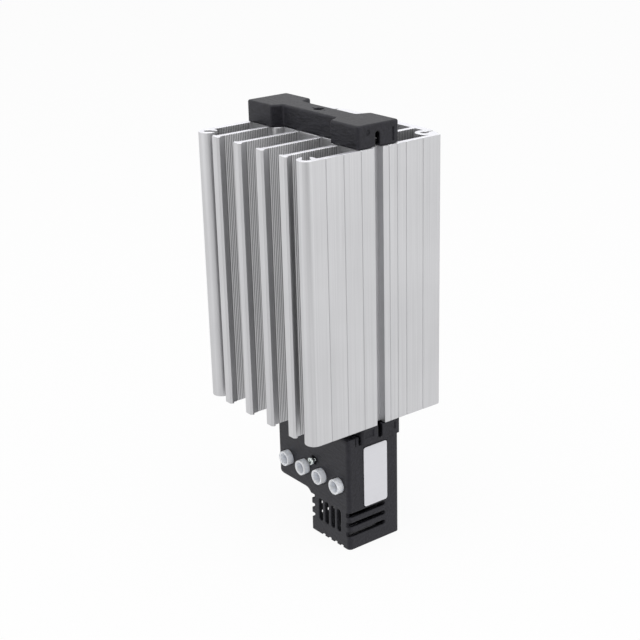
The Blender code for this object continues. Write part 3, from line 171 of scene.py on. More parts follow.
def vary_roughness(tree, shader, source, low, high):
    """Let the roughness follow a source, between two values."""
    rough = add_node(tree, "ShaderNodeMapRange", {"To Min": low, "To Max": high}, {
        "Value": source,
    })
    tree.links.new(rough.outputs[0], shader.inputs["Roughness"])


def seen_directly(tree):
    """1 for camera, glossy and transmission rays, 0 for the light's own rays."""
    path = add_node(tree, "ShaderNodeLightPath")
    seen = path.outputs["Is Camera Ray"]
    for kind in ("Is Glossy Ray", "Is Transmission Ray"):
        seen = add_node(tree, "ShaderNodeMath", {"operation": "MAXIMUM"}, {
            0: seen, 1: path.outputs[kind],
        }).outputs[0]
    return seen


# %% [markdown]
# ## The studio
#
# Such product photographs are taken on white paper under large soft boxes.
# The paper is made white for the camera with Is Camera Ray, not by more
# light, so the metal keeps its grey. Glossy and transmission rays see the
# same white, because the real aluminium mirrors the paper round it.

# %% Floor, backdrop and world
FLOOR_GAP = 0.2 * MM
PAPER_WIDTH = 6.0
PAPER_GLOW = 0.93  # share of plain white in what the camera sees of the paper


def add_sheet(name, width, height):
    """A flat rectangle; it is sized in edit mode, so its own scale stays 1."""
    bpy.ops.object.select_all(action="DESELECT")
    bpy.ops.mesh.primitive_plane_add(size=1.0)
    sheet = bpy.context.object
    sheet.name = name
    bpy.ops.object.mode_set(mode="EDIT")
    bpy.ops.mesh.select_all(action="SELECT")
    bpy.ops.transform.resize(value=(width, height, 1.0))
    bpy.ops.object.mode_set(mode="OBJECT")
    return sheet


floor = add_sheet("paper_floor", PAPER_WIDTH, PAPER_WIDTH)
floor.location = (0.0, 0.0, cad_low.z - FLOOR_GAP)
floor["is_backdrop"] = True

paper, tree, shader = new_material("white_paper", Roughness=0.9)
shader.inputs["Base Color"].default_value = colour("#E8E8E8")
share = add_node(tree, "ShaderNodeMath", {"operation": "MULTIPLY", 1: PAPER_GLOW}, {
    0: seen_directly(tree),
})
glow = add_node(tree, "ShaderNodeEmission", {"Color": colour("#FFFFFF"), "Strength": 1.0})
mixed = add_node(tree, "ShaderNodeMixShader", None, {
    0: share.outputs[0], 1: shader.outputs[0], 2: glow.outputs[0],
})
tree.links.new(mixed.outputs[0], tree.nodes["Material Output"].inputs["Surface"])
floor.data.materials.append(paper)

world = bpy.data.worlds.new("studio")
bpy.context.scene.world = world
world.use_nodes = True
tree = world.node_tree
tree.nodes.clear()
dim = add_node(tree, "ShaderNodeBackground", {"Color": colour("#FAFAFA"), "Strength": 0.7})
white = add_node(tree, "ShaderNodeBackground", {"Color": colour("#FFFFFF"), "Strength": 1.0})
mixed = add_node(tree, "ShaderNodeMixShader", None, {
    0: seen_directly(tree), 1: dim.outputs[0], 2: white.outputs[0],
})
add_node(tree, "ShaderNodeOutputWorld", None, {"Surface": mixed.outputs[0]})


# %% Soft boxes and a grey flag
def soft_box(name, place, width, height, watts):
    """A rectangular area light that looks at the heater."""
    light = bpy.data.lights.new(name, "AREA")
    light.shape = "RECTANGLE"
    light.size = width
    light.size_y = height
    light.energy = watts
    lamp = bpy.data.objects.new(name, light)
    lamp.location = place
    lamp.rotation_euler = (-Vector(place)).to_track_quat("-Z", "Y").to_euler()
    bpy.context.scene.collection.objects.link(lamp)


soft_box("box_above", (0.10, -0.15, 0.95), 1.0, 1.0, 4.5)
soft_box("box_right", (0.95, 0.15, 0.35), 0.8, 0.9, 2.2)
soft_box("box_front", (-0.30, -1.00, 0.30), 0.8, 0.9, 1.8)

# The photographer's side of the tent is darker: a grey cloth that only
# reflections see, wider than the camera and behind it
FLAG_DISTANCE = 0.75
FLAG_TURN = math.radians(-32.0)
FLAG_RISE = 0.18
FLAG_SIZE = (0.40, 0.80)

flag_way = Vector((math.cos(FLAG_TURN), math.sin(FLAG_TURN), FLAG_RISE))
flag = add_sheet("dark_flag", *FLAG_SIZE)
flag.location = flag_way * FLAG_DISTANCE
flag.rotation_euler = flag_way.to_track_quat("Z", "Y").to_euler()
flag.visible_camera = False
flag.visible_diffuse = False
flag.visible_shadow = False
flag.visible_transmission = False
cloth, tree, shader = new_material("grey_flag_cloth", Roughness=1.0)
shader.inputs["Base Color"].default_value = colour("#767676")
flag.data.materials.append(cloth)
flag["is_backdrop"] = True
bpy.context.scene.view_settings.view_transform = "Standard"


# %% [markdown]
# ## Anodised aluminium, drawn
#
# The extrusion is aluminium 6060, pressed through a die and then clear
# anodised. The die leaves faint lines along its length, and the oxide makes
# the metal satin and a little grey. The saw that cut it to length came after,
# so its ends are brighter, with the fine arcs of the blade across them.
# All of this can be told from the place on the piece: Object coordinates
# give the height, and the ends are the two heights where it stops.

# %% Aluminium of the extrusion
SAWN_SKIN = 0.05 * MM

profile_low, profile_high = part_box("heatsink_profile")
print("extrusion in mm:", [round(v / MM, 1) for v in profile_high - profile_low])


def drawn_aluminium():
    """Clear anodised aluminium with die lines and sawn ends."""
    made, tree, shader = new_material("clear_anodised_aluminium", Metallic=0.85)
    place = object_place(tree)
    # Die lines: 0.5 mm wide across the profile, drawn out 150 times along it
    stretch = add_mapping(tree, place, Scale=(2000.0, 2000.0, 13.0))
    lines = add_noise(tree, stretch, 1.0, 3.0, 0.55)
    # The oxide is uneven over some 25 mm
    cloud = add_noise(tree, place, 40.0, 2.0)
    tone = add_node(tree, "ShaderNodeMix", {"data_type": "FLOAT", "Factor": 0.3}, {
        "A": lines, "B": cloud,
    })
    skin = add_ramp(tree, tone.outputs["Result"], "#C2C2C4", "#D2D2D4", 0.30, 0.70)

    # Painted shade darkens the valleys of the ribs and a painted highlight lightens
    # their crests: the mesh carries an attribute that is 1 in a valley and below 0 on a crest
    valley = add_node(tree, "ShaderNodeAttribute", {"attribute_name": "valley"})
    painted_rib_shade = add_node(tree, "ShaderNodeMapRange", {
        "clamp": False, "To Min": 1.0, "To Max": 0.36,
    }, {"Value": valley.outputs["Fac"]})
    skin = add_node(tree, "ShaderNodeVectorMath", {"operation": "SCALE"}, {
        0: skin, "Scale": painted_rib_shade.outputs[0],
    })

    # Sawn ends: next to the two heights where the metal stops
    height = add_node(tree, "ShaderNodeSeparateXYZ", None, {0: place}).outputs["Z"]
    top = add_node(tree, "ShaderNodeMath", {
        "operation": "GREATER_THAN", 1: profile_high.z - SAWN_SKIN,
    }, {0: height})
    foot = add_node(tree, "ShaderNodeMath", {
        "operation": "LESS_THAN", 1: profile_low.z + SAWN_SKIN,
    }, {0: height})
    sawn = add_node(tree, "ShaderNodeMath", {"operation": "MAXIMUM"}, {
        0: top.outputs[0], 1: foot.outputs[0],
    })
    # The blade's arcs are 1.2 mm apart, round a point far to one side
    blade = add_mapping(tree, place, Location=(0.30, 0.12, 0.0))
    arcs = add_node(tree, "ShaderNodeTexWave", {
        "wave_type": "RINGS", "rings_direction": "Z", "Scale": 260.0,
        "Distortion": 1.5, "Detail": 2.0,
    }, {"Vector": blade})
    cut = add_ramp(tree, arcs.outputs["Fac"], "#E6E6EC", "#F8F8FC")
    face = add_node(tree, "ShaderNodeMix", {"data_type": "RGBA"}, {
        "Factor": sawn.outputs[0], "A": skin.outputs[0], "B": cut,
    })
    tree.links.new(face.outputs["Result"], shader.inputs["Base Color"])
    vary_roughness(tree, shader, lines, 0.36, 0.50)
    bump = add_node(tree, "ShaderNodeBump", {"Strength": 0.12, "Distance": 0.05 * MM}, {
        "Height": lines,
    })
    tree.links.new(bump.outputs[0], shader.inputs["Normal"])
    return made


ALUMINIUM = drawn_aluminium()


# %% [markdown]
# ## Black glass-filled nylon
#
# Caps, housing, carrier and clip are moulded in nylon 66 with glass fibre,
# which stands the heat. The mould is spark-eroded, so the skin is a fine even
# grain that scatters a soft grey sheen, and the fibres near the surface draw
# faint streaks. Grain and streaks are two noises of very different size.


# %% Black nylon
def moulded_nylon(name, dark, light, roughness):
    """Black moulded nylon with a spark-eroded skin."""
    made, tree, shader = new_material(name, IOR=1.43)
    shader.inputs["Specular Tint"].default_value = (0.92, 0.91, 1.0, 1.0)
    place = object_place(tree)
    # The real grain is 0.05 mm; it is drawn 0.25 mm wide, to show at all
    grain = add_noise(tree, place, 4000.0, 2.0, 0.6)
    # Fibres lie along the flow of the melt: streaks 1 mm wide and 4 mm long
    drawn = add_mapping(tree, place, Scale=(250.0, 1000.0, 1000.0))
    streaks = add_noise(tree, drawn, 1.0, 4.0, 0.65)
    skin = add_ramp(tree, streaks, dark, light, 0.35, 0.68)
    tree.links.new(skin, shader.inputs["Base Color"])
    vary_roughness(tree, shader, grain, *roughness)
    # The mould's own edges are round; the shading normal carries that radius
    edge = add_node(tree, "ShaderNodeBevel", {"samples": 6, "Radius": 0.9 * MM})
    wavy = add_node(tree, "ShaderNodeBump", {"Strength": 0.6, "Distance": 0.4 * MM}, {
        "Height": streaks, "Normal": edge.outputs[0],
    })
    bump = add_node(tree, "ShaderNodeBump", {"Strength": 0.25, "Distance": 0.06 * MM}, {
        "Height": grain, "Normal": wavy.outputs[0],
    })
    tree.links.new(bump.outputs[0], shader.inputs["Normal"])
    return made


NYLON = moulded_nylon("black_glass_filled_nylon", "#08080B", "#1C1C22", (0.38, 0.60))


# %% [markdown]
# ## The small finishes
#
# The push collars are natural polycarbonate: white, and milky where light
# goes into the tube. The label is a silver polyester film, left blank here.
# Screws are zinc plated. Inside there are a spring steel, tinned brass, the
# dark ceramic of the heating stones, amber polyimide film and red silicone.


# %% Collar, label and metal finishes
def milky_polycarbonate():
    """Natural polycarbonate that lets some light into its wall."""
    made, tree, shader = new_material(
        "natural_polycarbonate", Roughness=0.28, IOR=1.58,
        Subsurface_Weight=0.8, Subsurface_Scale=0.005,
    )
    shader.inputs["Subsurface Radius"].default_value = (0.92, 0.95, 1.0)
    place = object_place(tree)
    # Flow marks from the gate, about 2 mm long
    flow = add_noise(tree, place, 500.0, 1.0)
    tree.links.new(add_ramp(tree, flow, "#E6EBF6", "#F2F6FE"), shader.inputs["Base Color"])
    return made


def label_film():
    """Silver-grey polyester film with a faint brushed grain."""
    made, tree, shader = new_material("silver_polyester_film", Metallic=0.15, Roughness=0.42)
    place = object_place(tree)
    stretch = add_mapping(tree, place, Scale=(3000.0, 60.0, 3000.0))
    brushed = add_noise(tree, stretch, 1.0, 2.0)
    tree.links.new(add_ramp(tree, brushed, "#D4D4D9", "#DCDCE0"), shader.inputs["Base Color"])
    return made


def bare_metal(name, dark, light, roughness, grain=900.0):
    """A metal whose surface is mottled at a given scale, in cells per metre."""
    made, tree, shader = new_material(name, Metallic=1.0)
    place = object_place(tree)
    mottle = add_noise(tree, place, grain, 3.0, 0.6)
    skin = add_ramp(tree, mottle, dark, light, 0.3, 0.7)
    tree.links.new(skin, shader.inputs["Base Color"])
    vary_roughness(tree, shader, mottle, *roughness)
    return made


def plain_mottled(name, dark, light, roughness, grain):
    """A non-metal that varies a little from place to place."""
    made = bare_metal(name, dark, light, roughness, grain)
    made.node_tree.nodes["Principled BSDF"].inputs["Metallic"].default_value = 0.0
    return made


POLYCARBONATE = milky_polycarbonate()
LABEL = label_film()
ZINC = bare_metal("zinc_plated_steel", "#BEC5C4", "#E6ECEA", (0.16, 0.26))
SPRING = bare_metal("spring_steel", "#8C8D90", "#B6B7BA", (0.18, 0.30), 2500.0)
BRASS = bare_metal("tinned_brass", "#B9B49C", "#D6D2BE", (0.25, 0.40), 1500.0)
FOIL = bare_metal("rolled_aluminium", "#C4C5C8", "#DDDEE0", (0.25, 0.35), 1200.0)
CERAMIC = plain_mottled("titanate_ceramic", "#3B342F", "#544A42", (0.6, 0.8), 3000.0)
POLYIMIDE = plain_mottled("polyimide_film", "#8E4A12", "#A85C1A", (0.15, 0.3), 300.0)
SILICONE = plain_mottled("red_silicone", "#8F1A16", "#A82420", (0.45, 0.6), 1800.0)
print("materials:", len(bpy.data.materials))


# %% [markdown]
# ## Modelling helpers
#
# The CAD nodes come in as loose, flat triangles: good for measuring, harsh to
# look at. A piece that only needs softer edges starts from a welded copy of
# its node. A small round piece is built anew, because a tube of 24 flat sides
# shows its corners. Faces and edges are selected in code, by where they are
# or which way they face, so the same steps work on every run.


# %% Selection and finishing helpers
WELD = 0.002 * MM  # corners nearer than this are one
FLAT = 0.5  # degrees; faces that turn less than this lie in one plane
TOUCH = 0.01 * MM  # heights nearer than this count as the same
FACING = 0.9  # a face looks along an axis when this much of its normal does


def only(piece):
    """Make one object the active one, with nothing else selected."""
    bpy.ops.object.select_all(action="DESELECT")
    piece.select_set(True)
    bpy.context.view_layer.objects.active = piece


def edit(piece, kind):
    """Open a piece in edit mode, picking VERT, EDGE or FACE."""
    only(piece)
    bpy.ops.object.mode_set(mode="EDIT")
    bpy.ops.mesh.select_mode(type=kind)
    bpy.ops.mesh.select_all(action="DESELECT")


def pick(piece, kind, test):
    """Select the verts, edges or faces in edit mode that pass a test."""
    bpy.ops.mesh.select_all(action="DESELECT")
    work = bmesh.from_edit_mesh(piece.data)
    work.normal_update()
    found = [item for item in getattr(work, kind) if test(item)]
    for item in found:
        item.select_set(True)
    work.select_flush_mode()
    bmesh.update_edit_mesh(piece.data)
    return len(found)


def apply_modifier(piece, kind, **settings):
    """Add a modifier with its settings and apply it."""
    only(piece)
    tool = piece.modifiers.new(kind.lower(), kind)
    for key, value in settings.items():
        setattr(tool, key, value)
    bpy.ops.object.modifier_apply(modifier=tool.name)


def round_edges(piece, width, segments=2, sharper_than=40.0):
    """Break every sharp edge, then shade so that flat faces stay flat."""
    apply_modifier(
        piece, "BEVEL", width=width, segments=segments, limit_method="ANGLE",
        angle_limit=math.radians(sharper_than), use_clamp_overlap=True,
    )
    smooth(piece)


def smooth(piece, up_to=35.0):
    """Smooth shading below an angle, with the large faces kept flat."""
    only(piece)
    bpy.ops.object.shade_smooth_by_angle(angle=math.radians(up_to))
    apply_modifier(piece, "WEIGHTED_NORMAL", keep_sharp=True)


def dress(piece, name, body, slot, finish, *stands_for):
    """Name a finished piece, give it its material and tie it to the frame."""
    piece.name = name
    piece.data.name = name
    piece.data.materials.clear()
    piece.data.materials.append(finish)
    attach(piece, body)
    if stands_for:
        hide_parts(*stands_for)
    print(f"{name}: {len(piece.data.polygons)} faces")


def join_flat_faces(piece):
    """Join the triangles that lie in one plane."""
    edit(piece, "VERT")
    bpy.ops.mesh.select_all(action="SELECT")
    bpy.ops.mesh.dissolve_limited(angle_limit=math.radians(FLAT))
    bpy.ops.object.mode_set(mode="OBJECT")


def welded_copy(node):
    """A CAD node's mesh in a new object, its triangles joined into one skin."""
    piece = bpy.data.objects.new("welded", nodes[node].data.copy())
    bpy.context.scene.collection.objects.link(piece)
    only(piece)
    bpy.ops.mesh.customdata_custom_splitnormals_clear()
    edit(piece, "VERT")
    bpy.ops.mesh.select_all(action="SELECT")
    bpy.ops.mesh.remove_doubles(threshold=WELD)
    bpy.ops.object.mode_set(mode="OBJECT")
    join_flat_faces(piece)
    return piece


def own_copy(piece, offset):
    """A copy of a piece with its own mesh, moved by an offset."""
    other = bpy.data.objects.new("copy", piece.data.copy())
    other.data.transform(Matrix.Translation(offset))
    bpy.context.scene.collection.objects.link(other)
    return other


# %% [markdown]
# ## The extrusion
#
# Its solid has every fin, rib and die line, so the shape is right as it is.
# What it lacks is the edge that the saw leaves: a hard corner is never quite
# sharp, and the narrow facet along it is what catches the light. Only the
# edges round the two sawn ends get one. The die's own edges run along the
# length and stay crisp.

# %% Break the sawn edges of the extrusion
SAW_EDGE = 0.12 * MM
RIB_FOLD = 82.4  # degrees by which the skin turns at a crest or valley
RIB_FOLD_SPREAD = 3.0
# Strength of the painted shade in a valley and of the painted highlight on a crest, in the valley
# attribute
VALLEY, CREST = 1.0, -0.5
LENGTHWISE = 0.99  # an edge lies along Z when this much of it does


def is_sawn_edge(edge):
    """An edge between a sawn end and a side of the extrusion."""
    if len(edge.link_faces) != 2:
        return False
    flat = [abs(face.normal.z) > FACING for face in edge.link_faces]
    return flat[0] != flat[1]


def mark_valleys(piece):
    """Tell the ribs' valleys from their crests, by the way their edges fold, for the painted shade
    and highlight of the ribs.
    """
    work = bmesh.new()
    work.from_mesh(piece.data)
    layer = work.verts.layers.float.new("valley")
    for edge in work.edges:
        along = (edge.verts[1].co - edge.verts[0].co).normalized()
        if len(edge.link_faces) == 2 and abs(along.z) > LENGTHWISE:
            fold = math.degrees(-edge.calc_face_angle_signed(0.0))
            if abs(abs(fold) - RIB_FOLD) < RIB_FOLD_SPREAD:
                for vert in edge.verts:
                    vert[layer] = VALLEY if fold > 0.0 else CREST
    work.to_mesh(piece.data)
    work.free()


extrusion = welded_copy("heatsink_profile")
edit(extrusion, "EDGE")
sawn_edges = pick(extrusion, "edges", is_sawn_edge)
bpy.ops.mesh.bevel(offset=SAW_EDGE, segments=1, affect="EDGES")
bpy.ops.object.mode_set(mode="OBJECT")
smooth(extrusion)
mark_valleys(extrusion)
dress(extrusion, "ribbed_extrusion", "heater", "anodised_aluminium", ALUMINIUM, "heatsink_profile")
print("sawn edges broken:", sawn_edges)


# %% [markdown]
# ## The two end caps
#
# Both are moulded, so no edge on them is sharp. The large radius runs round
# the rim of the top cap. It is easiest to make on a plain block without any
# holes: the block grows from a section of the cap, its rim is bevelled, and
# what the cap and the block have in common is the rounded cap. The slots, the
# pin hole and the screw's bore then get the small radius of the mould's steel.

# %% A block with a round rim
CAP_RIM = 0.85 * MM
CAP_SECTION = 0.8 * MM  # the section is taken this far below the cap's top
AROUND_BORE = 4.6 * MM  # nothing within this radius of the bore goes into the block
BLOCK_BELOW = 0.1 * MM  # the block starts this far below the cap
BLOCK_SHORT = 0.01 * MM  # and ends this far below its top
BLOCK_GROWTH = 1.0006  # a little wider, so that no two walls lie in one plane
cap_low, cap_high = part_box("top_cap")
screw_low, screw_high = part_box("top_cap_screw")
cap_height = cap_high.z - cap_low.z
bore = (screw_low + screw_high) / 2

block = welded_copy("top_cap")
edit(block, "EDGE")
bpy.ops.mesh.select_all(action="SELECT")
bpy.ops.mesh.bisect(
    plane_co=(0.0, 0.0, cap_high.z - CAP_SECTION), plane_no=(0.0, 0.0, 1.0),
    clear_inner=True, clear_outer=True,
)
pick(block, "verts", lambda vert: (vert.co.xy - bore.xy).length < AROUND_BORE)
bpy.ops.mesh.delete(type="VERT")
bpy.ops.mesh.select_all(action="SELECT")
bpy.ops.mesh.edge_face_add()
bpy.ops.transform.translate(value=(0.0, 0.0, CAP_SECTION - BLOCK_BELOW - cap_height))
bpy.ops.mesh.extrude_region_move(
    TRANSFORM_OT_translate={"value": (0.0, 0.0, cap_height + BLOCK_BELOW - BLOCK_SHORT)},
)
bpy.ops.mesh.select_all(action="SELECT")
bpy.ops.transform.resize(value=(BLOCK_GROWTH, BLOCK_GROWTH, 1.0), center_override=tuple(bore))
bpy.ops.mesh.normals_make_consistent(inside=False)
block_top = max(vert.co.z for vert in bmesh.from_edit_mesh(block.data).verts)
rim = pick(block, "edges", lambda edge: min(v.co.z for v in edge.verts) > block_top - TOUCH)
bpy.ops.mesh.bevel(offset=CAP_RIM, segments=5, affect="EDGES", clamp_overlap=False)
bpy.ops.object.mode_set(mode="OBJECT")
print("rim edges rounded:", rim)

# %% Round the caps
CAP_EDGE = 0.12 * MM

for node in ("top_cap", "bottom_cap"):
    cap = welded_copy(node)
    if node == "top_cap":
        apply_modifier(block, "TRIANGULATE")
        apply_modifier(cap, "TRIANGULATE")
        apply_modifier(cap, "BOOLEAN", operation="INTERSECT", solver="MANIFOLD", object=block)
        bpy.data.objects.remove(block, do_unlink=True)
        join_flat_faces(cap)
    round_edges(cap, CAP_EDGE)
    dress(cap, f"moulded_{node}", "heater", "black_plastic", NYLON, node)


# %% [markdown]
# ## The terminal housing
#
# The same holds for the housing. Its vents are cut by thin steel blades in
# the mould, so their edges are only just broken.

# %% Round the housing
HOUSING_EDGE = 0.12 * MM

housing = welded_copy("terminal_housing")
round_edges(housing, HOUSING_EDGE)
dress(housing, "moulded_housing", "heater", "black_plastic", NYLON, "terminal_housing")


# %% [markdown]
# ## Push collars
#
# Each wire entry has a tube that slides in and opens the clamp behind it.
# The tube has a flange inside the housing, so that it can't fall out, and a
# thin tail that reaches the clamp. It could be spun from an outline; here it
# grows from one short cylinder: its back face is stretched into the flange
# and the tail, its front face is inset and pushed in to make the bore, and
# the two ends are bridged. One collar is made, and three are copies.

# %% Model one push collar
COLLAR_SIDES = 56
COLLAR_RADIUS = 3.1 * MM
FLANGE_RADIUS = 4.1 * MM
FLANGE_WALL = 1.0 * MM
TAIL_RADIUS = 2.6 * MM
TAIL_BORE = 1.9 * MM
TAIL_LENGTH = 3.4 * MM
RIM_WALL = 0.60 * MM
LEAD_IN = 0.20 * MM
BORE_RADIUS = 2.3 * MM

collar_low, collar_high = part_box("release_collar_1")
collar_axis = (collar_low + collar_high) / 2
front_length = collar_high.y - collar_low.y - FLANGE_WALL - TAIL_LENGTH

bpy.ops.object.select_all(action="DESELECT")
bpy.ops.mesh.primitive_cylinder_add(
    vertices=COLLAR_SIDES, radius=COLLAR_RADIUS, depth=front_length,
    location=(collar_axis.x, collar_low.y + front_length / 2, collar_axis.z),
    rotation=(math.pi / 2, 0.0, 0.0),
)
collar = bpy.context.object
bpy.ops.object.transform_apply(location=True, rotation=True, scale=True)
edit(collar, "FACE")


def extrude_along(y):
    """Extrude the selected face by a distance along Y."""
    bpy.ops.mesh.extrude_region_move(TRANSFORM_OT_translate={"value": (0.0, y, 0.0)})


def widen(factor):
    """Scale the selected face about the collar's axis."""
    bpy.ops.transform.resize(value=(factor, 1.0, factor), center_override=tuple(collar_axis))


pick(collar, "faces", lambda face: face.normal.y > FACING)
extrude_along(0.0)
widen(FLANGE_RADIUS / COLLAR_RADIUS)
extrude_along(FLANGE_WALL)
bpy.ops.mesh.inset(thickness=FLANGE_RADIUS - TAIL_RADIUS)
extrude_along(TAIL_LENGTH)

front = collar_low.y + TOUCH
pick(collar, "faces", lambda face: face.normal.y < -FACING
     and face.calc_center_median().y < front)
bpy.ops.mesh.inset(thickness=RIM_WALL)
bpy.ops.mesh.inset(thickness=COLLAR_RADIUS - RIM_WALL - BORE_RADIUS)
bpy.ops.transform.translate(value=(0.0, LEAD_IN, 0.0))
extrude_along(front_length - LEAD_IN)
bpy.ops.mesh.inset(thickness=BORE_RADIUS - TAIL_BORE)
bpy.ops.transform.translate(value=(0.0, FLANGE_WALL, 0.0))
extrude_along(TAIL_LENGTH)

tail_end = collar_high.y - TOUCH
pick(collar, "faces", lambda face: abs(face.normal.y) > FACING
     and face.calc_center_median().y > tail_end)
bpy.ops.mesh.delete(type="FACE")
pick(collar, "edges", lambda edge: edge.is_boundary)
bpy.ops.mesh.bridge_edge_loops()
bpy.ops.mesh.select_all(action="SELECT")
bpy.ops.mesh.normals_make_consistent(inside=False)
bpy.ops.object.mode_set(mode="OBJECT")
print("collar size in mm:", [round(v / MM, 1) for v in collar.dimensions])

# %% Cut the flange's flats, round the collar and copy it
COLLAR_EDGE = 0.15 * MM
FLAT_GAP = 0.02 * MM  # the flats lie this far outside the tube
CUTTER = (2.0 * MM, FLANGE_WALL + 0.1 * MM, 12.0 * MM)

bpy.ops.object.select_all(action="DESELECT")
for side in (-1, 1):
    bpy.ops.mesh.primitive_cube_add(size=1.0)
    cutter = bpy.context.object
    cutter.scale = CUTTER
    cutter.location = (
        collar_axis.x + side * (COLLAR_RADIUS + FLAT_GAP + CUTTER[0] / 2),
        collar_low.y + front_length + FLANGE_WALL / 2,
        collar_axis.z,
    )
    apply_modifier(collar, "BOOLEAN", operation="DIFFERENCE", solver="EXACT", object=cutter)
    bpy.data.objects.remove(cutter, do_unlink=True)
round_edges(collar, COLLAR_EDGE, segments=3)

collars = [collar]
for number in range(2, 5):
    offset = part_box(f"release_collar_{number}")[0] - collar_low
    collars.append(own_copy(collar, offset))
for number, piece in enumerate(collars, start=1):
    dress(
        piece, f"push_collar_{number}", f"collar_{number}", "white_plastic", POLYCARBONATE,
        f"release_collar_{number}",
    )


# %% [markdown]
# ## Screws
#
# All screws are zinc-plated pan heads with a cross recess, in four sizes. One
# function grows a screw from a short cylinder, head upwards: the lower face
# is pushed down half a pitch at a time and narrowed and widened in turn,
# which draws the thread as rings. A true helix would look the same at this
# size, because only a turn or two shows under the head.


# %% Screw function
SCREW_SIDES = 32
SCREW_EDGE = 0.05 * MM
SCREW_NECK = 0.4 * MM
THREAD_PITCH = 0.7 * MM
THREAD_ROOT = 0.78  # share of the shaft's radius at the bottom of the thread
TIP = 0.25  # share of it at the end of the thread
# Steps up the head: share of its height and width at the step's end
HEAD_CURVE = ((0.60, 1.0), (0.24, 0.90), (0.13, 0.66))
# Cross recess: bar length and width by the head's radius, depth by its height
CROSS_LENGTH, CROSS_WIDTH, CROSS_DEPTH = 1.25, 0.36, 0.85
CROSS_TAPER = 0.55
CROSS_PROUD = 0.02 * MM


def pan_head_screw(radius, height, shaft, length):
    """A screw with its seat at the origin, its head up and its shaft down."""
    turns = int((length - SCREW_NECK - shaft) / THREAD_PITCH)
    bpy.ops.object.select_all(action="DESELECT")
    bpy.ops.mesh.primitive_cylinder_add(
        vertices=SCREW_SIDES, radius=shaft, depth=SCREW_NECK,
        location=(0.0, 0.0, -SCREW_NECK / 2),
    )
    screw = bpy.context.object
    bpy.ops.object.transform_apply(location=True, rotation=True, scale=True)
    edit(screw, "FACE")

    def push(z, factor):
        """Extrude the selected face along the screw and scale it."""
        bpy.ops.mesh.extrude_region_move(TRANSFORM_OT_translate={"value": (0.0, 0.0, z)})
        bpy.ops.transform.resize(value=(factor, factor, 1.0), center_override=(0.0, 0.0, 0.0))

    pick(screw, "faces", lambda face: face.normal.z < -FACING)
    for _ in range(turns):
        push(-THREAD_PITCH / 2, THREAD_ROOT)
        push(-THREAD_PITCH / 2, 1 / THREAD_ROOT)
    push(-(length - SCREW_NECK - turns * THREAD_PITCH), TIP)

    pick(screw, "faces", lambda face: face.normal.z > FACING)
    push(0.0, radius / shaft)
    width = 1.0
    for rise, next_width in HEAD_CURVE:
        push(rise * height, next_width / width)
        width = next_width
    bpy.ops.object.mode_set(mode="OBJECT")

    deep = CROSS_DEPTH * height
    for turn in (0.0, math.pi / 2):
        bpy.ops.object.select_all(action="DESELECT")
        bpy.ops.mesh.primitive_cube_add(size=1.0, rotation=(0.0, 0.0, turn))
        cross = bpy.context.object
        cross.scale = (CROSS_LENGTH * radius, CROSS_WIDTH * radius, deep)
        cross.location = (0.0, 0.0, height - deep / 2 + CROSS_PROUD)
        bpy.ops.object.transform_apply(location=True, rotation=True, scale=True)
        edit(cross, "FACE")
        pick(cross, "faces", lambda face: face.normal.z < -FACING)
        bpy.ops.transform.resize(
            value=(CROSS_TAPER, CROSS_TAPER, 1.0), center_override=(0.0, 0.0, 0.0),
        )
        bpy.ops.object.mode_set(mode="OBJECT")
        apply_modifier(screw, "BOOLEAN", operation="DIFFERENCE", solver="EXACT", object=cross)
        bpy.data.objects.remove(cross, do_unlink=True)
    round_edges(screw, SCREW_EDGE)
    return screw


def stand_in(screw, node, head_way):
    """Turn an upright screw's head that way and put it where its node is."""
    low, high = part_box(node)
    way = Vector(head_way)
    middle = (low + high) / 2
    reach = abs((high - low).dot(way)) / 2
    height = max(vert.co.z for vert in screw.data.vertices)
    screw.rotation_euler = Vector((0.0, 0.0, 1.0)).rotation_difference(way).to_euler()
    screw.location = middle + way * (reach - height)
    only(screw)
    bpy.ops.object.transform_apply(location=True, rotation=True, scale=True)
    return screw


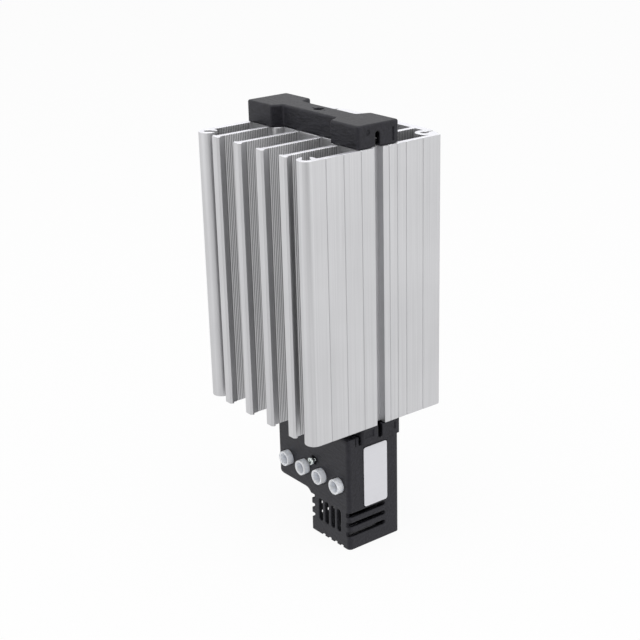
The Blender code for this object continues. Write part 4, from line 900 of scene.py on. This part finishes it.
# %% Screws in their places
# Head radius and height, shaft radius, and the way the head looks
SCREWS = {
    "housing_screw": (1.6 * MM, 1.3 * MM, 1.0 * MM, (0, -1, 0)),
    "top_cap_screw": (1.8 * MM, 1.2 * MM, 0.9 * MM, (0, 0, 1)),
    "bottom_cap_screw_left": (2.4 * MM, 1.6 * MM, 1.15 * MM, (0, 0, -1)),
    "bottom_cap_screw_right": (2.4 * MM, 1.6 * MM, 1.15 * MM, (0, 0, -1)),
    "rail_clip_screw_lower": (2.6 * MM, 1.5 * MM, 1.2 * MM, (0, 1, 0)),
    "rail_clip_screw_upper": (2.6 * MM, 1.5 * MM, 1.2 * MM, (0, 1, 0)),
}
for node, (radius, height, shaft, way) in SCREWS.items():
    low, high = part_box(node)
    length = abs((high - low).dot(Vector(way))) - height
    screw = stand_in(pan_head_screw(radius, height, shaft, length), node, way)
    dress(screw, f"plated_{node}", "heater", "zinc_plated_steel", ZINC, node)


# %% [markdown]
# ## Rail clip
#
# The clip on the back is moulded in the same black nylon. It bends when it
# snaps over the rail, so its corners are rounded to keep it from cracking.

# %% Round the rail clip
CLIP_EDGE = 0.3 * MM

clip = welded_copy("rail_clip")
round_edges(clip, CLIP_EDGE, segments=3)
dress(clip, "moulded_rail_clip", "heater", "black_plastic", NYLON, "rail_clip")


# %% [markdown]
# ## Finishes for the nodes that stay
#
# The label is a flat film, and the pieces inside show only as glints through
# the vents, so their solids are good as they are. They only need the finish
# of the real ones.

# %% Finishes for the nodes that stay
FINISHES = {
    "cap_anchor": NYLON, "clamp_carrier": NYLON,
    "rating_label": LABEL, "insulating_film": POLYIMIDE,
    "electrode_front": FOIL, "electrode_rear": FOIL,
    "contact_bar_line": BRASS, "contact_bar_neutral": BRASS,
    "lead_line": SILICONE, "lead_neutral": SILICONE,
}
for number in range(1, 5):
    FINISHES[f"ptc_stone_{number}"] = CERAMIC
    FINISHES[f"clamp_spring_{number}"] = SPRING
for name, finish in FINISHES.items():
    nodes[name].data.materials.clear()
    nodes[name].data.materials.append(finish)
print("nodes that stay:", len(FINISHES), "of", len(nodes))


# %% Measure and finish
low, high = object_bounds()
print("visual box in mm:", [round(v / MM, 1) for v in high - low])
